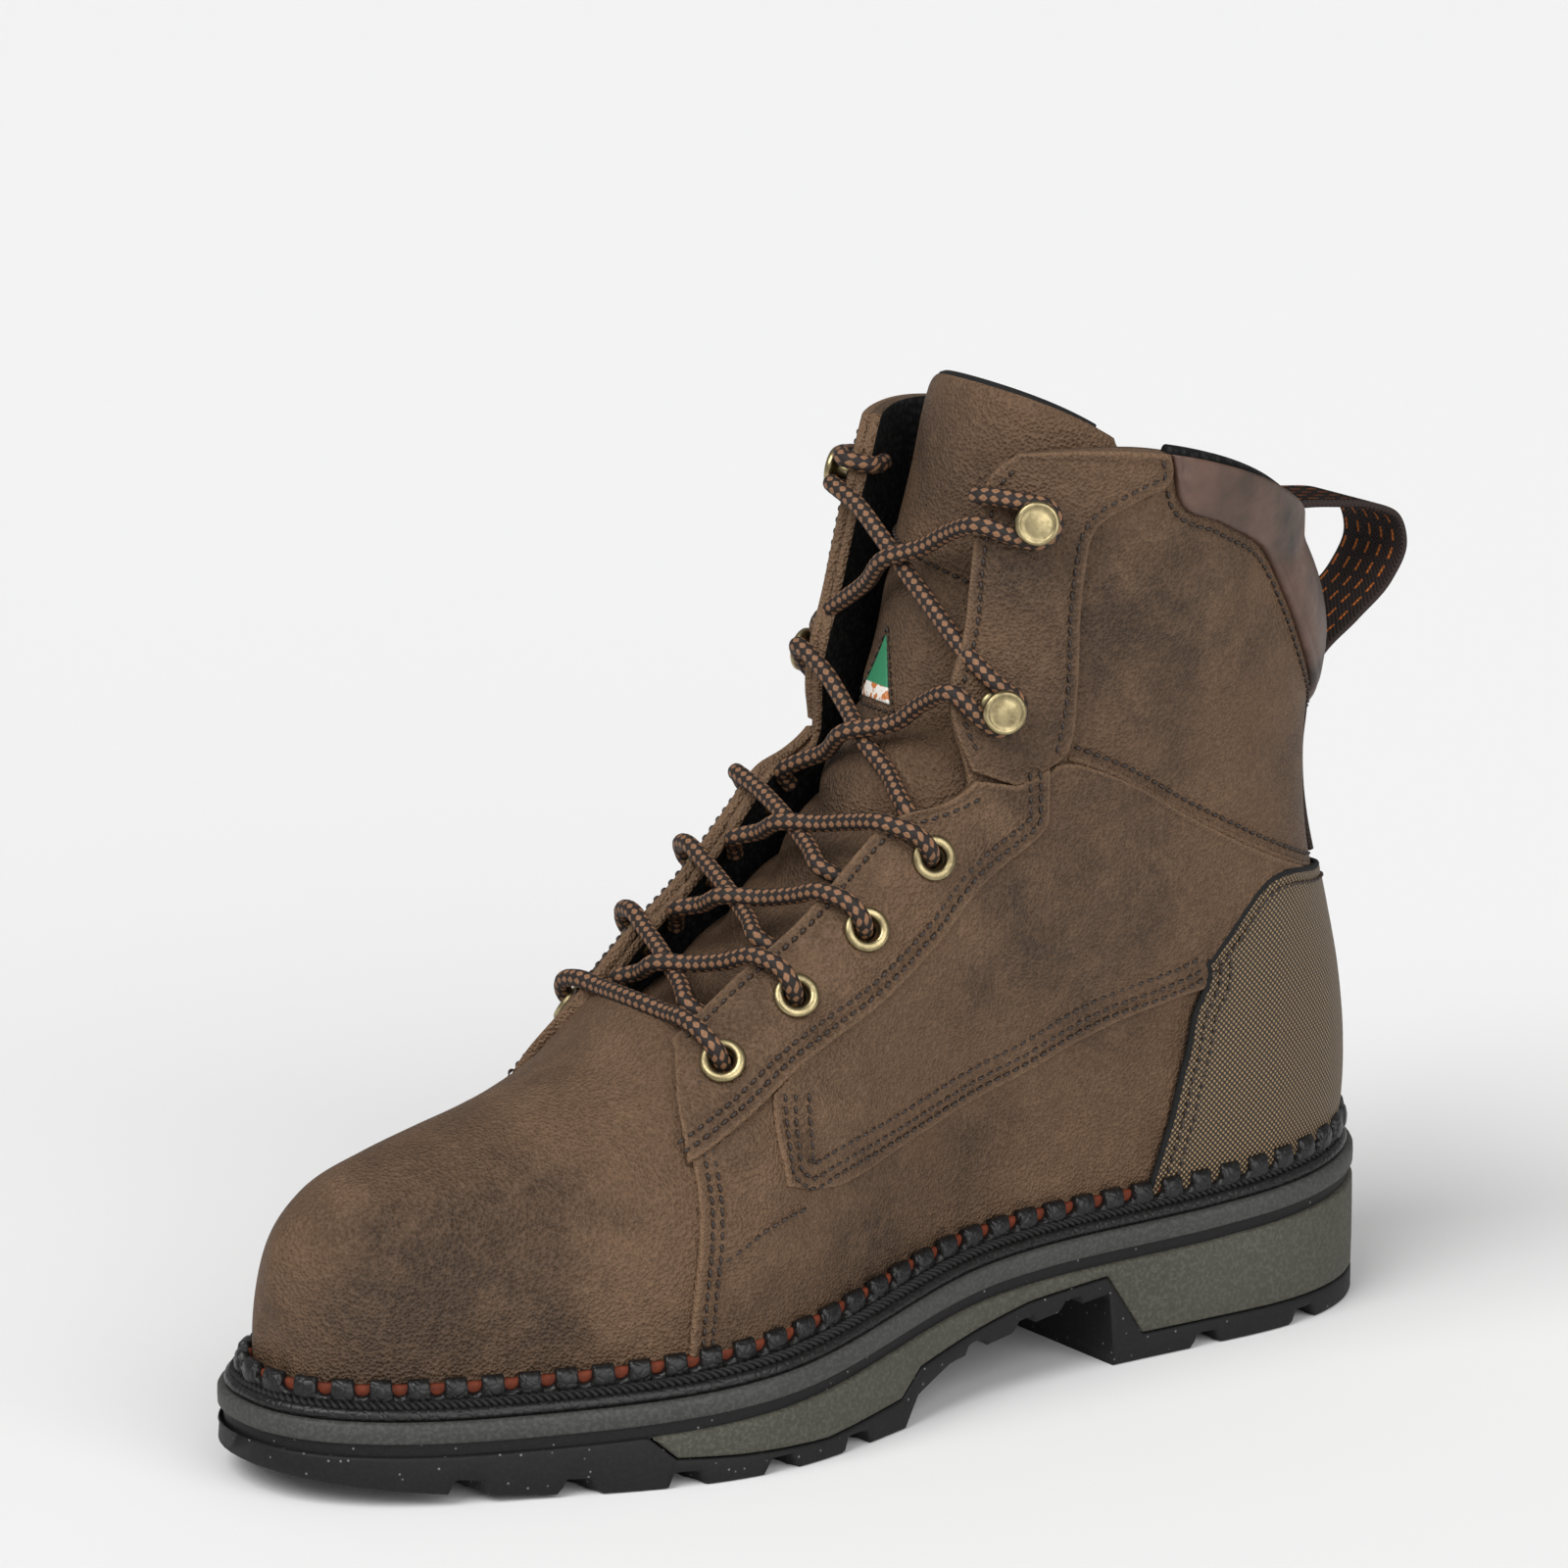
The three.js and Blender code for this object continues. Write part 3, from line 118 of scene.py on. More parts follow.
# Back seam: share of COLLAR_BACK, x share of LENGTH, length of the rounded back
BACK = np.array([
    (0.200, 0.0167, 0.160), (0.263, 0.0103, 0.158), (0.342, 0.0096, 0.156), (0.421, 0.0160, 0.154),
    (0.526, 0.0321, 0.150), (0.616, 0.0471, 0.147), (0.711, 0.0545, 0.147), (0.784, 0.0545, 0.148),
    (0.842, 0.0494, 0.151), (0.895, 0.0474, 0.156), (0.947, 0.0529, 0.168), (1.010, 0.0705, 0.178),
])
# Shaft: share of COLLAR_FRONT, outer and inner half-widths as shares of SHAFT_WIDTH
SHAFT = np.array([
    (0.182, 0.415, 0.415), (0.318, 0.420, 0.432), (0.455, 0.426, 0.438), (0.591, 0.438, 0.449),
    (0.727, 0.460, 0.466), (0.864, 0.489, 0.489), (1.091, 0.500, 0.500),
])
# Seam of the quarters over the vamp: share of the line, share along the fan
VAMP_SEAM = np.array([
    (0.0, 0.462), (0.21, 0.460), (0.345, 0.429), (0.535, 0.403), (0.828, 0.369), (1.0, 0.357),
])
# Lace edge: share along the fan, half gap as a share of THROAT_WIDTH
LACE_EDGE = np.array([
    (0.450, 0.355), (0.473, 0.371), (0.556, 0.419), (0.633, 0.452), (0.715, 0.488), (0.746, 0.535),
    (0.777, 0.600), (0.792, 0.605), (0.805, 0.575), (0.824, 0.530), (0.889, 0.508), (0.970, 0.480),
    (0.989, 0.490), (1.000, 0.560),
])
EYELETS = (0.480, 0.565, 0.646, 0.728)
HOOKS = (0.851, 0.959)

# Panel borders as rows of share along the fan and share of the line
EYESTAY_BACK = ((0.404, 0.485), (0.503, 0.472), (0.562, 0.462), (0.625, 0.447), (0.691, 0.412),
                (0.763, 0.367), (0.838, 0.330))
HOOKSTAY_BACK = ((0.836, 0.326), (0.850, 0.345), (0.890, 0.352), (0.940, 0.346), (0.960, 0.350),
                 (0.976, 0.400), (0.989, 0.450), (1.000, 0.452))
SIDE_TOP = ((0.500, 0.475), (0.625, 0.432), (0.763, 0.352), (0.848, 0.352), (0.861, 0.430),
            (0.867, 0.520), (0.888, 0.780))
SIDE_BOTTOM = ((0.473, 0.650), (0.520, 0.722), (0.600, 0.728), (0.669, 0.698), (0.739, 0.642),
               (0.800, 0.590), (0.880, 0.800))
SIDE_STITCH = ((0.503, 0.475), (0.486, 0.550), (0.474, 0.640), (0.490, 0.703), (0.530, 0.722),
               (0.600, 0.726), (0.669, 0.696), (0.739, 0.640), (0.795, 0.586))
COUNTER_FRONT = ((0.715, 1.000), (0.744, 0.825), (0.766, 0.700), (0.785, 0.612), (0.811, 0.558))
COUNTER_TOP = ((0.811, 0.558), (0.865, 0.633), (0.888, 0.780), (0.898, 1.000))
COLLAR_LOW = ((0.990, 0.456), (0.980, 0.462), (0.976, 0.535), (0.973, 0.630), (0.964, 0.680), (0.956, 0.730),
              (0.948, 0.840), (0.944, 1.000))
DIAGONAL_SEAM = ((0.850, 0.353), (0.859, 0.415), (0.865, 0.500), (0.873, 0.600), (0.888, 0.780))
LOW_STITCH = ((0.389, 0.750), (0.438, 0.712), (0.486, 0.722))

# Tongue: crest x and z, half-width and how far its sides fall back, as the solid has them
TONGUE_TOP = 238.0
TONGUE = np.array([
    (0.681, 0.347, 0.50, 0.24), (0.636, 0.388, 0.57, 0.30), (0.577, 0.443, 0.61, 0.40),
    (0.520, 0.507, 0.63, 0.52), (0.467, 0.588, 0.62, 0.66), (0.424, 0.698, 0.62, 0.84),
    (0.396, 0.840, 0.64, 1.02), (0.373, 0.950, 0.64, 1.15), (0.360, 1.000, 0.57, 1.20),
])
TONGUE_SWEEP = 1.25
# Loop of webbing in the side view: share of LENGTH, share of COLLAR_BACK
LOOP = np.array([
    (0.0430, 0.800), (0.026, 0.835), (-0.008, 0.874), (-0.042, 0.918), (-0.056, 0.960), (-0.050, 0.996),
    (-0.024, 1.018), (0.012, 1.028), (0.052, 1.034), (0.084, 1.030), (0.104, 1.000), (0.108, 0.940),
])

# Camera, fitted to the photograph's edges and corners of the boot
CAMERA_PLACE = (1168.9, 1394.1, 580.3)
CAMERA_TARGET = (162.9, 0.0, 146.0)
CAMERA_LENS = 173.2


def srgb(red, green, blue):
    """Scene colour of a shade given as 0 to 255 in each channel."""
    share = np.array([red, green, blue]) / 255
    linear = np.where(share <= 0.04045, share / 12.92, ((share + 0.055) / 1.055) ** 2.4)
    return tuple(float(c) for c in linear)


# Curves


def curve(rows, x, column=1):
    """Smooth curve through a table: cubic pieces whose slope at a row is the weighted mean beside it."""
    rows = np.asarray(rows, float)
    xs = rows[:, 0]
    ys = rows[:, column]
    x = np.clip(np.asarray(x, float), xs[0], xs[-1])
    h = np.diff(xs)
    d = np.diff(ys) / h
    m = np.empty_like(ys)
    m[1:-1] = (d[:-1] * h[1:] + d[1:] * h[:-1]) / (h[1:] + h[:-1])
    m[0] = (3 * d[0] - m[1]) / 2
    m[-1] = (3 * d[-1] - m[-2]) / 2
    k = np.clip(np.searchsorted(xs, x, side="right") - 1, 0, len(h) - 1)
    t = (x - xs[k]) / h[k]
    return ((1 + 2 * t) * (1 - t) ** 2 * ys[k] + t * (1 - t) ** 2 * h[k] * m[k]
            + t * t * (3 - 2 * t) * ys[k + 1] + t * t * (t - 1) * h[k] * m[k + 1])


def ease(low, high, x):
    """0 below low, 1 above high, smooth between them."""
    t = np.clip((np.asarray(x, float) - low) / (high - low), 0, 1)
    return t * t * (3 - 2 * t)


def round_out(u, power):
    """Quarter of a superellipse, from 0 at u = 0 to 1 at u = 1."""
    return np.maximum(1 - (1 - np.clip(u, 0, 1)) ** power, 0) ** (1 / power)


def path_through(points, count=None, step=None):
    """Smooth path through points, resampled at even distances along it."""
    points = np.asarray(points, float)
    chord = np.r_[0, np.cumsum(np.linalg.norm(np.diff(points, axis=0), axis=1))]
    fine = np.linspace(0, chord[-1], 40 * len(points))
    dense = np.stack([curve(np.c_[chord, points[:, k]], fine) for k in range(points.shape[1])], -1)
    run = np.r_[0, np.cumsum(np.linalg.norm(np.diff(dense, axis=0), axis=1))]
    count = count or max(int(run[-1] / step) + 1, 4)
    at = np.linspace(0, run[-1], count)
    return np.stack([np.interp(at, run, dense[:, k]) for k in range(points.shape[1])], -1)


def unit(vectors):
    return vectors / np.maximum(np.linalg.norm(vectors, axis=-1, keepdims=True), 1e-9)


# Sole


def centre_line(x):
    return -TOE_SWING * np.clip((x / LENGTH - 0.6) / 0.4, 0, None) ** 1.6


def half_width(x, side):
    return BALL_WIDTH * curve(OUTLINE, x / LENGTH, 1 if side > 0 else 2)


def sole_edge(x, side, inset):
    """Signed y of the sole's edge, moved inward by inset, with superelliptic heel and toe."""
    heel = round_out((x - inset) / (HEEL_ROUND * LENGTH - inset), HEEL_POWER)
    toe = round_out((LENGTH - inset - x) / (TOE_ROUND * LENGTH - inset), TOE_POWER)
    return centre_line(x) + side * (half_width(x, side) - inset) * heel * toe


def sole_top(x):
    return HEEL_HEIGHT * curve(SOLE_TOP, x / LENGTH)


def welt_top(x):
    return sole_top(x) + WELT


def spring(x):
    return TOE_SPRING * np.clip((x / LENGTH - 0.74) / 0.26, 0, 1) ** 2


def tread(x):
    return HEEL_HEIGHT * np.interp(x / LENGTH, TREAD[:, 0], TREAD[:, 1]) + spring(x)


def insert_edge(x):
    return HEEL_HEIGHT * np.interp(x / LENGTH, INSERT_EDGE[:, 0], INSERT_EDGE[:, 1])


def loop_round(edge, x_from, x_to, count):
    """Closed path round an outline given as edge(x, side): out along one side, back along the other."""
    turn = (1 - np.cos(np.linspace(0, np.pi, 4 * count))) / 2
    x = x_from + (x_to - x_from) * turn
    outer = np.stack([x, edge(x, 1)], -1)
    inner = np.stack([x, edge(x, -1)], -1)[::-1][1:-1]
    path = np.concatenate([outer, inner])
    closed = np.concatenate([path, path[:1]])
    run = np.r_[0, np.cumsum(np.linalg.norm(np.diff(closed, axis=0), axis=1))]
    at = np.linspace(0, run[-1], count, endpoint=False)
    return np.stack([np.interp(at, run, closed[:, k]) for k in (0, 1)], -1), run[-1]


def outward_of(path):
    """Level outward directions of a closed path that runs out along the outer side."""
    along = np.roll(path, -1, 0) - np.roll(path, 1, 0)
    out = np.stack([-along[:, 1], along[:, 0]], -1)
    return unit(np.c_[out, np.zeros(len(out))])


# Body of the upper

FAN_RUN = np.r_[0, np.cumsum(np.hypot(np.diff(FAN[:, 0]) * LENGTH, np.diff(FAN[:, 1]) * COLLAR_FRONT))]
FAN_AT = np.c_[FAN_RUN / FAN_RUN[-1], FAN]


def back_seam(z):
    return LENGTH * curve(BACK, z / COLLAR_BACK)


def foot_point(g):
    """Side view point of the foot path: along the welt up to g = 1, then up the back seam."""
    x = NOSE - (NOSE - BACK_FOOT) * (1 - np.cos(np.pi * np.clip(g, 0, 1))) / 2
    low = welt_top(np.array(BACK_FOOT))
    z = low + (COLLAR_BACK - low) * np.clip(g - 1, 0, 1)
    return np.where(g > 1, back_seam(z), x), np.where(g > 1, z, welt_top(x))


def body_width(x, z, side, away=0.0):
    """Half-width at a place in the side view, moved outward: from the foot's ring to the shaft, and
    rounded at toe and back."""
    column = 1 if side > 0 else 2
    foot = half_width(x, side) - LEDGE * curve(LEDGE_ROWS, x / LENGTH)
    shaft = SHAFT_WIDTH * curve(SHAFT, z / COLLAR_FRONT, column)
    full = foot + (shaft - foot) * ease(0.205 * COLLAR_FRONT, 0.568 * COLLAR_FRONT, z) + away
    toe = round_out((NOSE + away - x) / (TOE_ROUND * LENGTH - LENGTH + NOSE + away), TOE_POWER)
    back = LENGTH * curve(BACK, z / COLLAR_BACK, 2) + away
    return full * toe * round_out((x - back_seam(z) + away) / back, BACK_POWER)


def body(s, v, side):
    """Outside of the body at share s along the fan and share v along its line from crest to foot."""
    s, v = np.broadcast_arrays(np.asarray(s, float), np.asarray(v, float))
    g = curve(FAN_AT, s, 3)
    foot_x, foot_z = foot_point(g)
    even = ease(0.3, 1, g)
    t = (1 - even) * (1 - np.cos(np.pi * v / 2)) + even * (1 - np.cos(np.pi * v)) / 2
    top_x = np.minimum(LENGTH * curve(FAN_AT, s, 1), NOSE - 0.04)
    top_z = COLLAR_FRONT * curve(FAN_AT, s, 2)
    x = top_x + (foot_x - top_x) * t
    rise = COLLAR_RISE * np.maximum(4 * t * (1 - t), 0) ** 0.8 * ease(1, 2, g) ** 1.5
    z = top_z + (foot_z - top_z) * t + rise
    half = body_width(x, z, side) * round_out(t / curve(FAN_AT, s, 4), 2.0)
    return np.stack([x, centre_line(x) + side * half, z], -1)


def body_normal(s, v, side):
    """Outward direction of the body, from differences along both shares."""
    d = 0.0025
    s, v = np.broadcast_arrays(np.asarray(s, float), np.asarray(v, float))
    v = np.clip(v, 0.006, 1)
    along = body(np.clip(s + d, 0, 1), v, side) - body(np.clip(s - d, 0, 1), v, side)
    across = body(s, np.clip(v + d, 0, 1), side) - body(s, np.clip(v - d, 0, 1), side)
    return unit(np.cross(across, along) * side)


def solve_line(measure, value, low, high):
    """Share of the line where a measure that rises along it reaches a value, by halving."""
    low = np.array(low, float)
    high = np.array(high, float)
    for _ in range(26):
        middle = (low + high) / 2
        below = measure(middle) < value
        low = np.where(below, middle, low)
        high = np.where(below, high, middle)
    return (low + high) / 2


def lace_edge(s):
    """Share of the line where the body is half the throat's gap from the centre line."""
    s = np.asarray(s, float)
    gap = THROAT_WIDTH * curve(LACE_EDGE, s)

    def reach(v):
        place = body(s, v, 1)
        return place[..., 1] - centre_line(place[..., 0])

    return solve_line(reach, gap, np.zeros_like(s), np.full_like(s, 0.9))


def in_from_edge(s, inward, side):
    """Share of the line at a distance in from the lace edge."""
    s = np.asarray(s, float)
    edge = lace_edge(s)
    start = body(s, edge, side)

    def distance(v):
        return np.linalg.norm(body(s, v, side) - start, axis=-1)

    return solve_line(distance, inward, edge, edge + 0.5)


def vamp_seam(v):
    return curve(VAMP_SEAM, v)


# Main creases of the leather in the side view: start x, z, end x, z, depth and width in mm
CREASES = np.array([
    (203, 86, 188, 72, 0.7, 5.0), (196, 92, 176, 82, 0.5, 4.0), (187, 98, 165, 92, 0.45, 4.0),
    (150, 118, 128, 104, 0.8, 7.0), (138, 122, 112, 112, 0.6, 6.0), (120, 96, 92, 88, 0.5, 8.0),
    (84, 132, 52, 122, 0.8, 9.0), (78, 150, 44, 143, 0.5, 9.0), (100, 78, 70, 70, 0.4, 9.0),
    (232, 58, 214, 48, 0.4, 6.0), (222, 72, 206, 60, 0.5, 5.0),
])


def relief(points):
    """Soft troughs with low ridges beside them along the creases, and a slow waviness of the hide."""
    x = points[..., 0]
    z = points[..., 2]
    total = 0.22 * np.sin(x / 17 + 1.3 * np.sin(z / 23)) * np.sin(z / 19 + 0.8 * np.sin(x / 31))
    for x0, z0, x1, z1, depth, width in CREASES:
        ax, az = x1 - x0, z1 - z0
        share = np.clip(((x - x0) * ax + (z - z0) * az) / (ax * ax + az * az), 0, 1)
        bend = 2.0 * np.sin(np.pi * share)
        away = np.hypot(x - x0 - ax * share, z - z0 - az * share - bend)
        trough = np.exp(-(away / width) ** 2)
        ridge = 0.45 * np.exp(-((away - 1.7 * width) / width) ** 2)
        total = total - depth * (trough - ridge)
    return total * ease(24, 40, z)


# Meshes


def quads(rows, columns, closed_rows=False, closed_columns=False):
    """Faces of a grid of points, whose ends may join up."""
    i = np.arange(rows if closed_rows else rows - 1)[:, None]
    j = np.arange(columns if closed_columns else columns - 1)[None, :]
    next_i = (i + 1) % rows
    next_j = (j + 1) % columns
    corners = [i * columns + j, i * columns + next_j, next_i * columns + next_j, next_i * columns + j]
    return np.stack([np.broadcast_to(c, np.broadcast(i, j).shape) for c in corners], -1).reshape(-1, 4)


class Shape:
    """Grids collected into one mesh, with a finish number for each face and values for each point."""

    def __init__(self):
        self.points = []
        self.faces = []
        self.finish = []
        self.values = {}
        self.count = 0

    def add(self, points, faces, finish=0, **values):
        flat = np.asarray(points, float).reshape(-1, 3)
        self.points.append(flat)
        self.faces.append(np.asarray(faces) + self.count)
        self.finish.append(np.full(len(faces), finish))
        for name, value in values.items():
            kept = self.values.setdefault(name, [])
            shape = (len(flat),) if name == "worn" else (len(flat), 2)
            kept.append((self.count, np.asarray(value, float).reshape(shape)))
        self.count += len(flat)

    def piece(self, name, materials, slot, *nodes, smooth=True, outward=False):
        points = np.concatenate(self.points)
        faces = np.concatenate(self.faces)
        mesh = bpy.data.meshes.new(name)
        mesh.vertices.add(len(points))
        mesh.vertices.foreach_set("co", to_frame(points).astype(np.float32).ravel())
        mesh.loops.add(faces.size)
        mesh.loops.foreach_set("vertex_index", faces.astype(np.int32).ravel())
        mesh.polygons.add(len(faces))
        mesh.polygons.foreach_set("loop_start", np.arange(0, faces.size, 4, dtype=np.int32))
        mesh.polygons.foreach_set("material_index", np.concatenate(self.finish).astype(np.int32))
        mesh.update(calc_edges=True)
        for title, kept in self.values.items():
            wide = kept[0][1].ndim > 1
            whole = np.zeros((len(points), 2) if wide else len(points), np.float32)
            for start, part in kept:
                whole[start:start + len(part)] = part
            if wide:
                layer = mesh.uv_layers.new(name=title)
                layer.data.foreach_set("uv", whole[faces.ravel()].astype(np.float32).ravel())
            else:
                mesh.attributes.new(title, "FLOAT", "POINT").data.foreach_set("value", whole)
        weld(mesh, outward)
        mesh.polygons.foreach_set("use_smooth", np.full(len(mesh.polygons), smooth))
        for material in materials:
            mesh.materials.append(material)
        made = bpy.data.objects.new(name, mesh)
        bpy.context.scene.collection.objects.link(made)
        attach(made, "root")
        if nodes:
            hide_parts(*nodes)
        return made


def weld(mesh, outward):
    """Merges points that meet and drops faces that have no area."""
    work = bmesh.new()
    work.from_mesh(mesh)
    bmesh.ops.remove_doubles(work, verts=work.verts, dist=4e-6)
    bmesh.ops.dissolve_degenerate(work, edges=work.edges, dist=1e-7)
    if outward:
        bmesh.ops.recalc_face_normals(work, faces=work.faces)
    work.to_mesh(mesh)
    work.free()
    mesh.update()


def shift():
    """Move from the working frame to the middle of the boot's box, found from the outsole's solid."""
    low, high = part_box("outsole")
    x = np.linspace(0, LENGTH, 2000)
    return np.array([-low.x / MM, sole_edge(x, 1, 0).max() - high.y / MM, 0.0])


SHIFT = shift()


def to_frame(points):
    return (np.asarray(points, float) - SHIFT) * MM


def leather_shell(shape, points, normals, lift, depth, side, finish=(0, 1), rims=(1, 1, 1, 1), **values):
    """Wall between points moved out by lift and in by depth. rims tells which of the grid's first and
    last rows and columns get an edge face, as one flag or an array for each quad."""
    rows, columns = points.shape[:2]
    outer = points + normals * lift[..., None]
    inner = points - normals * np.broadcast_to(depth, points.shape[:2])[..., None]
    faces = quads(rows, columns)
    flip = side > 0
    outer_faces = faces[:, ::-1] if flip else faces
    size = rows * columns
    both = np.concatenate([outer.reshape(-1, 3), inner.reshape(-1, 3)])
    doubled = {name: np.concatenate([np.reshape(value, (size, -1))] * 2) for name, value in values.items()}
    start = shape.count
    shape.add(both, outer_faces, finish[0], **doubled)
    inner_faces = faces + size
    shape.faces.append((inner_faces if flip else inner_faces[:, ::-1]) + start)
    shape.finish.append(np.full(len(faces), finish[1]))
    index = np.arange(size).reshape(rows, columns)
    lines = [index[0], index[-1][::-1], index[:, 0][::-1], index[:, -1]]
    for line, flag in zip(lines, rims):
        a, b = line[:-1], line[1:]
        strip = np.stack([a, b, b + size, a + size], -1)
        strip = strip if flip else strip[:, ::-1]
        keep = np.broadcast_to(np.asarray(flag, bool), len(strip))
        strip = strip[keep]
        shape.faces.append(strip + start)
        shape.finish.append(np.full(len(strip), finish[0]))


def border_steps(length, spacing, first=True, last=True):
    """Shares from 0 to 1 with close steps for a rounded edge and its stitch groove at bordered ends."""
    close = np.array([0, 0.3, 0.7, 1.2, 1.8, 2.3, 2.7, 3.1, 3.6, 4.4])
    start = close if first else np.array([0.0])
    end = length - close[::-1] if last else np.array([length])
    count = max(int((end[0] - start[-1]) / spacing), 2)
    middle = np.linspace(start[-1], end[0], count + 1)[1:-1]
    return np.concatenate([start, middle, end]) / length


def along_rows(rows, share):
    """Place on a smooth line through rows of two shares, at an even share of its length."""
    rows = np.asarray(rows, float)
    path = path_through(rows * np.array([400.0, 150.0]), count=200) / np.array([400.0, 150.0])
    at = np.linspace(0, 1, 200)
    return np.stack([np.interp(share, at, path[:, 0]), np.interp(share, at, path[:, 1])], -1)


def patch(low, high, start, end, a, b):
    """Blend of four border lines: low and high at a = 0 and 1, start and end at b = 0 and 1."""
    bottom = along_rows(low, b)[None]
    top = along_rows(high, b)[None]
    left = along_rows(start, a)[:, None]
    right = along_rows(end, a)[:, None]
    aa = a[:, None, None]
    bb = b[None, :, None]
    corners = ((1 - aa) * (1 - bb) * bottom[:, :1] + (1 - aa) * bb * bottom[:, -1:]
               + aa * (1 - bb) * top[:, :1] + aa * bb * top[:, -1:])
    return (1 - aa) * bottom + aa * top + (1 - bb) * left + bb * right - corners


def edge_distance(points, first, last, start, end):
    """Distance of each grid point to the nearest bordered side, along the grid's own lines."""
    far = np.full(points.shape[:2], 1e3)
    down = np.linalg.norm(np.diff(points, axis=0), axis=-1)
    run = np.vstack([np.zeros((1, points.shape[1])), np.cumsum(down, 0)])
    over = np.linalg.norm(np.diff(points, axis=1), axis=-1)
    turn = np.hstack([np.zeros((points.shape[0], 1)), np.cumsum(over, 1)])
    sides = [(first, run), (last, run[-1:] - run), (start, turn), (end, turn[:, -1:] - turn)]
    for flag, distance in sides:
        if flag:
            far = np.minimum(far, distance)
    return far


def panel_lift(distance, base, thickness, groove=2.7):
    """Height of a sewn panel: a rounded edge, then a shallow groove where its stitches lie."""
    edge = thickness * (0.5 + 0.5 * round_out(distance / 0.9, 2.2))
    return base + edge - 0.28 * np.exp(-((distance - groove) / 0.55) ** 2)


def round_heel(points):
    """Distance round the boot from the back seam: an arc about the heel, then straight forward."""
    radius = 42.0
    x = points[..., 0]
    y = np.abs(points[..., 1])
    return np.where(x < radius, radius * np.arctan2(y, radius - x), radius * np.pi / 2 + x - radius)


def sewn_panel(name, materials, slot, nodes, borders, rims, size, lift, thickness, spacing=1.7, puff=0.0):
    """Panel over the body between four border lines, as one piece for each side."""
    made = []
    a = border_steps(size[0], spacing, rims[0], rims[1])
    b = border_steps(size[1], spacing, rims[2], rims[3])
    for side in (1, -1):
        shares = patch(*borders, a, b)
        points = body(shares[..., 0], shares[..., 1], side)
        normals = body_normal(shares[..., 0], shares[..., 1], side)
        distance = edge_distance(points, *rims)
        height = panel_lift(distance, lift, thickness) + relief(points)
        if puff:
            height = height + puff * round_out(distance / 16, 2)
        shape = Shape()
        flat = np.stack([round_heel(points), points[..., 2]], -1) * MM
        worn = 1 - ease(0.2, 1.3, distance)
        leather_shell(shape, points, normals, height, 0.4, side, (0, 0), worn=worn, flat=flat)
        word = "outer" if side > 0 else "inner"
        chosen = nodes[0 if side > 0 else -1]
        made.append(shape.piece(f"{name}_{word}", materials, slot, *chosen, outward=True))
    return made


# Materials

# Places of the colour sockets of a mix node, whose names several of its sockets share
MIX_FIRST = 6
MIX_SECOND = 7
MIX_RESULT = 2


class Finish:
    """One material, with short calls that add nodes to it."""

    def __init__(self, name, roughness=0.6, metallic=0.0, specular=0.5):
        self.material = bpy.data.materials.new(name)
        self.material.use_nodes = True
        self.tree = self.material.node_tree
        self.shader = self.tree.nodes["Principled BSDF"]
        self.set("Roughness", roughness)
        self.set("Metallic", metallic)
        self.set("Specular IOR Level", specular)

    def set(self, socket, value):
        self.join(value, self.shader.inputs[socket])

    def join(self, value, socket):
        if isinstance(value, bpy.types.NodeSocket):
            self.tree.links.new(value, socket)
        elif socket.type == "RGBA":
            socket.default_value = (*value, 1.0)
        else:
            socket.default_value = value

    def node(self, kind, inputs, **settings):
        made = self.tree.nodes.new(kind)
        for key, value in settings.items():
            setattr(made, key, value)
        for key, value in inputs.items():
            self.join(value, made.inputs[key])
        return made

    def place(self):
        return self.node("ShaderNodeTexCoord", {}).outputs["Object"]

    def flat(self, name):
        return self.node("ShaderNodeUVMap", {}, uv_map=name).outputs["UV"]

    def value(self, name):
        return self.node("ShaderNodeAttribute", {}, attribute_name=name).outputs["Fac"]

    def noise(self, scale, detail=3.0, roughness=0.55):
        inputs = {"Vector": self.place(), "Scale": scale, "Detail": detail, "Roughness": roughness}
        return self.node("ShaderNodeTexNoise", inputs).outputs["Fac"]

    def cells(self, scale, feature="F1"):
        inputs = {"Vector": self.place(), "Scale": scale}
        return self.node("ShaderNodeTexVoronoi", inputs, feature=feature).outputs["Distance"]

    def math(self, operation, *values):
        made = self.node("ShaderNodeMath", dict(enumerate(values)), operation=operation)
        return made.outputs[0]

    def between(self, value, low, high, to_low=0.0, to_high=1.0):
        inputs = {"Value": value, "From Min": low, "From Max": high, "To Min": to_low, "To Max": to_high}
        return self.node("ShaderNodeMapRange", inputs).outputs["Result"]

    def mix(self, share, first, second):
        inputs = {"Factor": share, MIX_FIRST: first, MIX_SECOND: second}
        return self.node("ShaderNodeMix", inputs, data_type="RGBA").outputs[MIX_RESULT]

    def bump(self, height, strength, distance, under=None):
        inputs = {"Height": height, "Strength": strength, "Distance": distance * MM}
        if under:
            inputs["Normal"] = under
        return self.node("ShaderNodeBump", inputs).outputs["Normal"]


def colours():
    return bpy.context.scene.boot_colours


def sizes():
    return bpy.context.scene.boot_sizes


def once(name, make):
    """A material is made once and then shared by name."""
    return bpy.data.materials.get(name) or make(name)


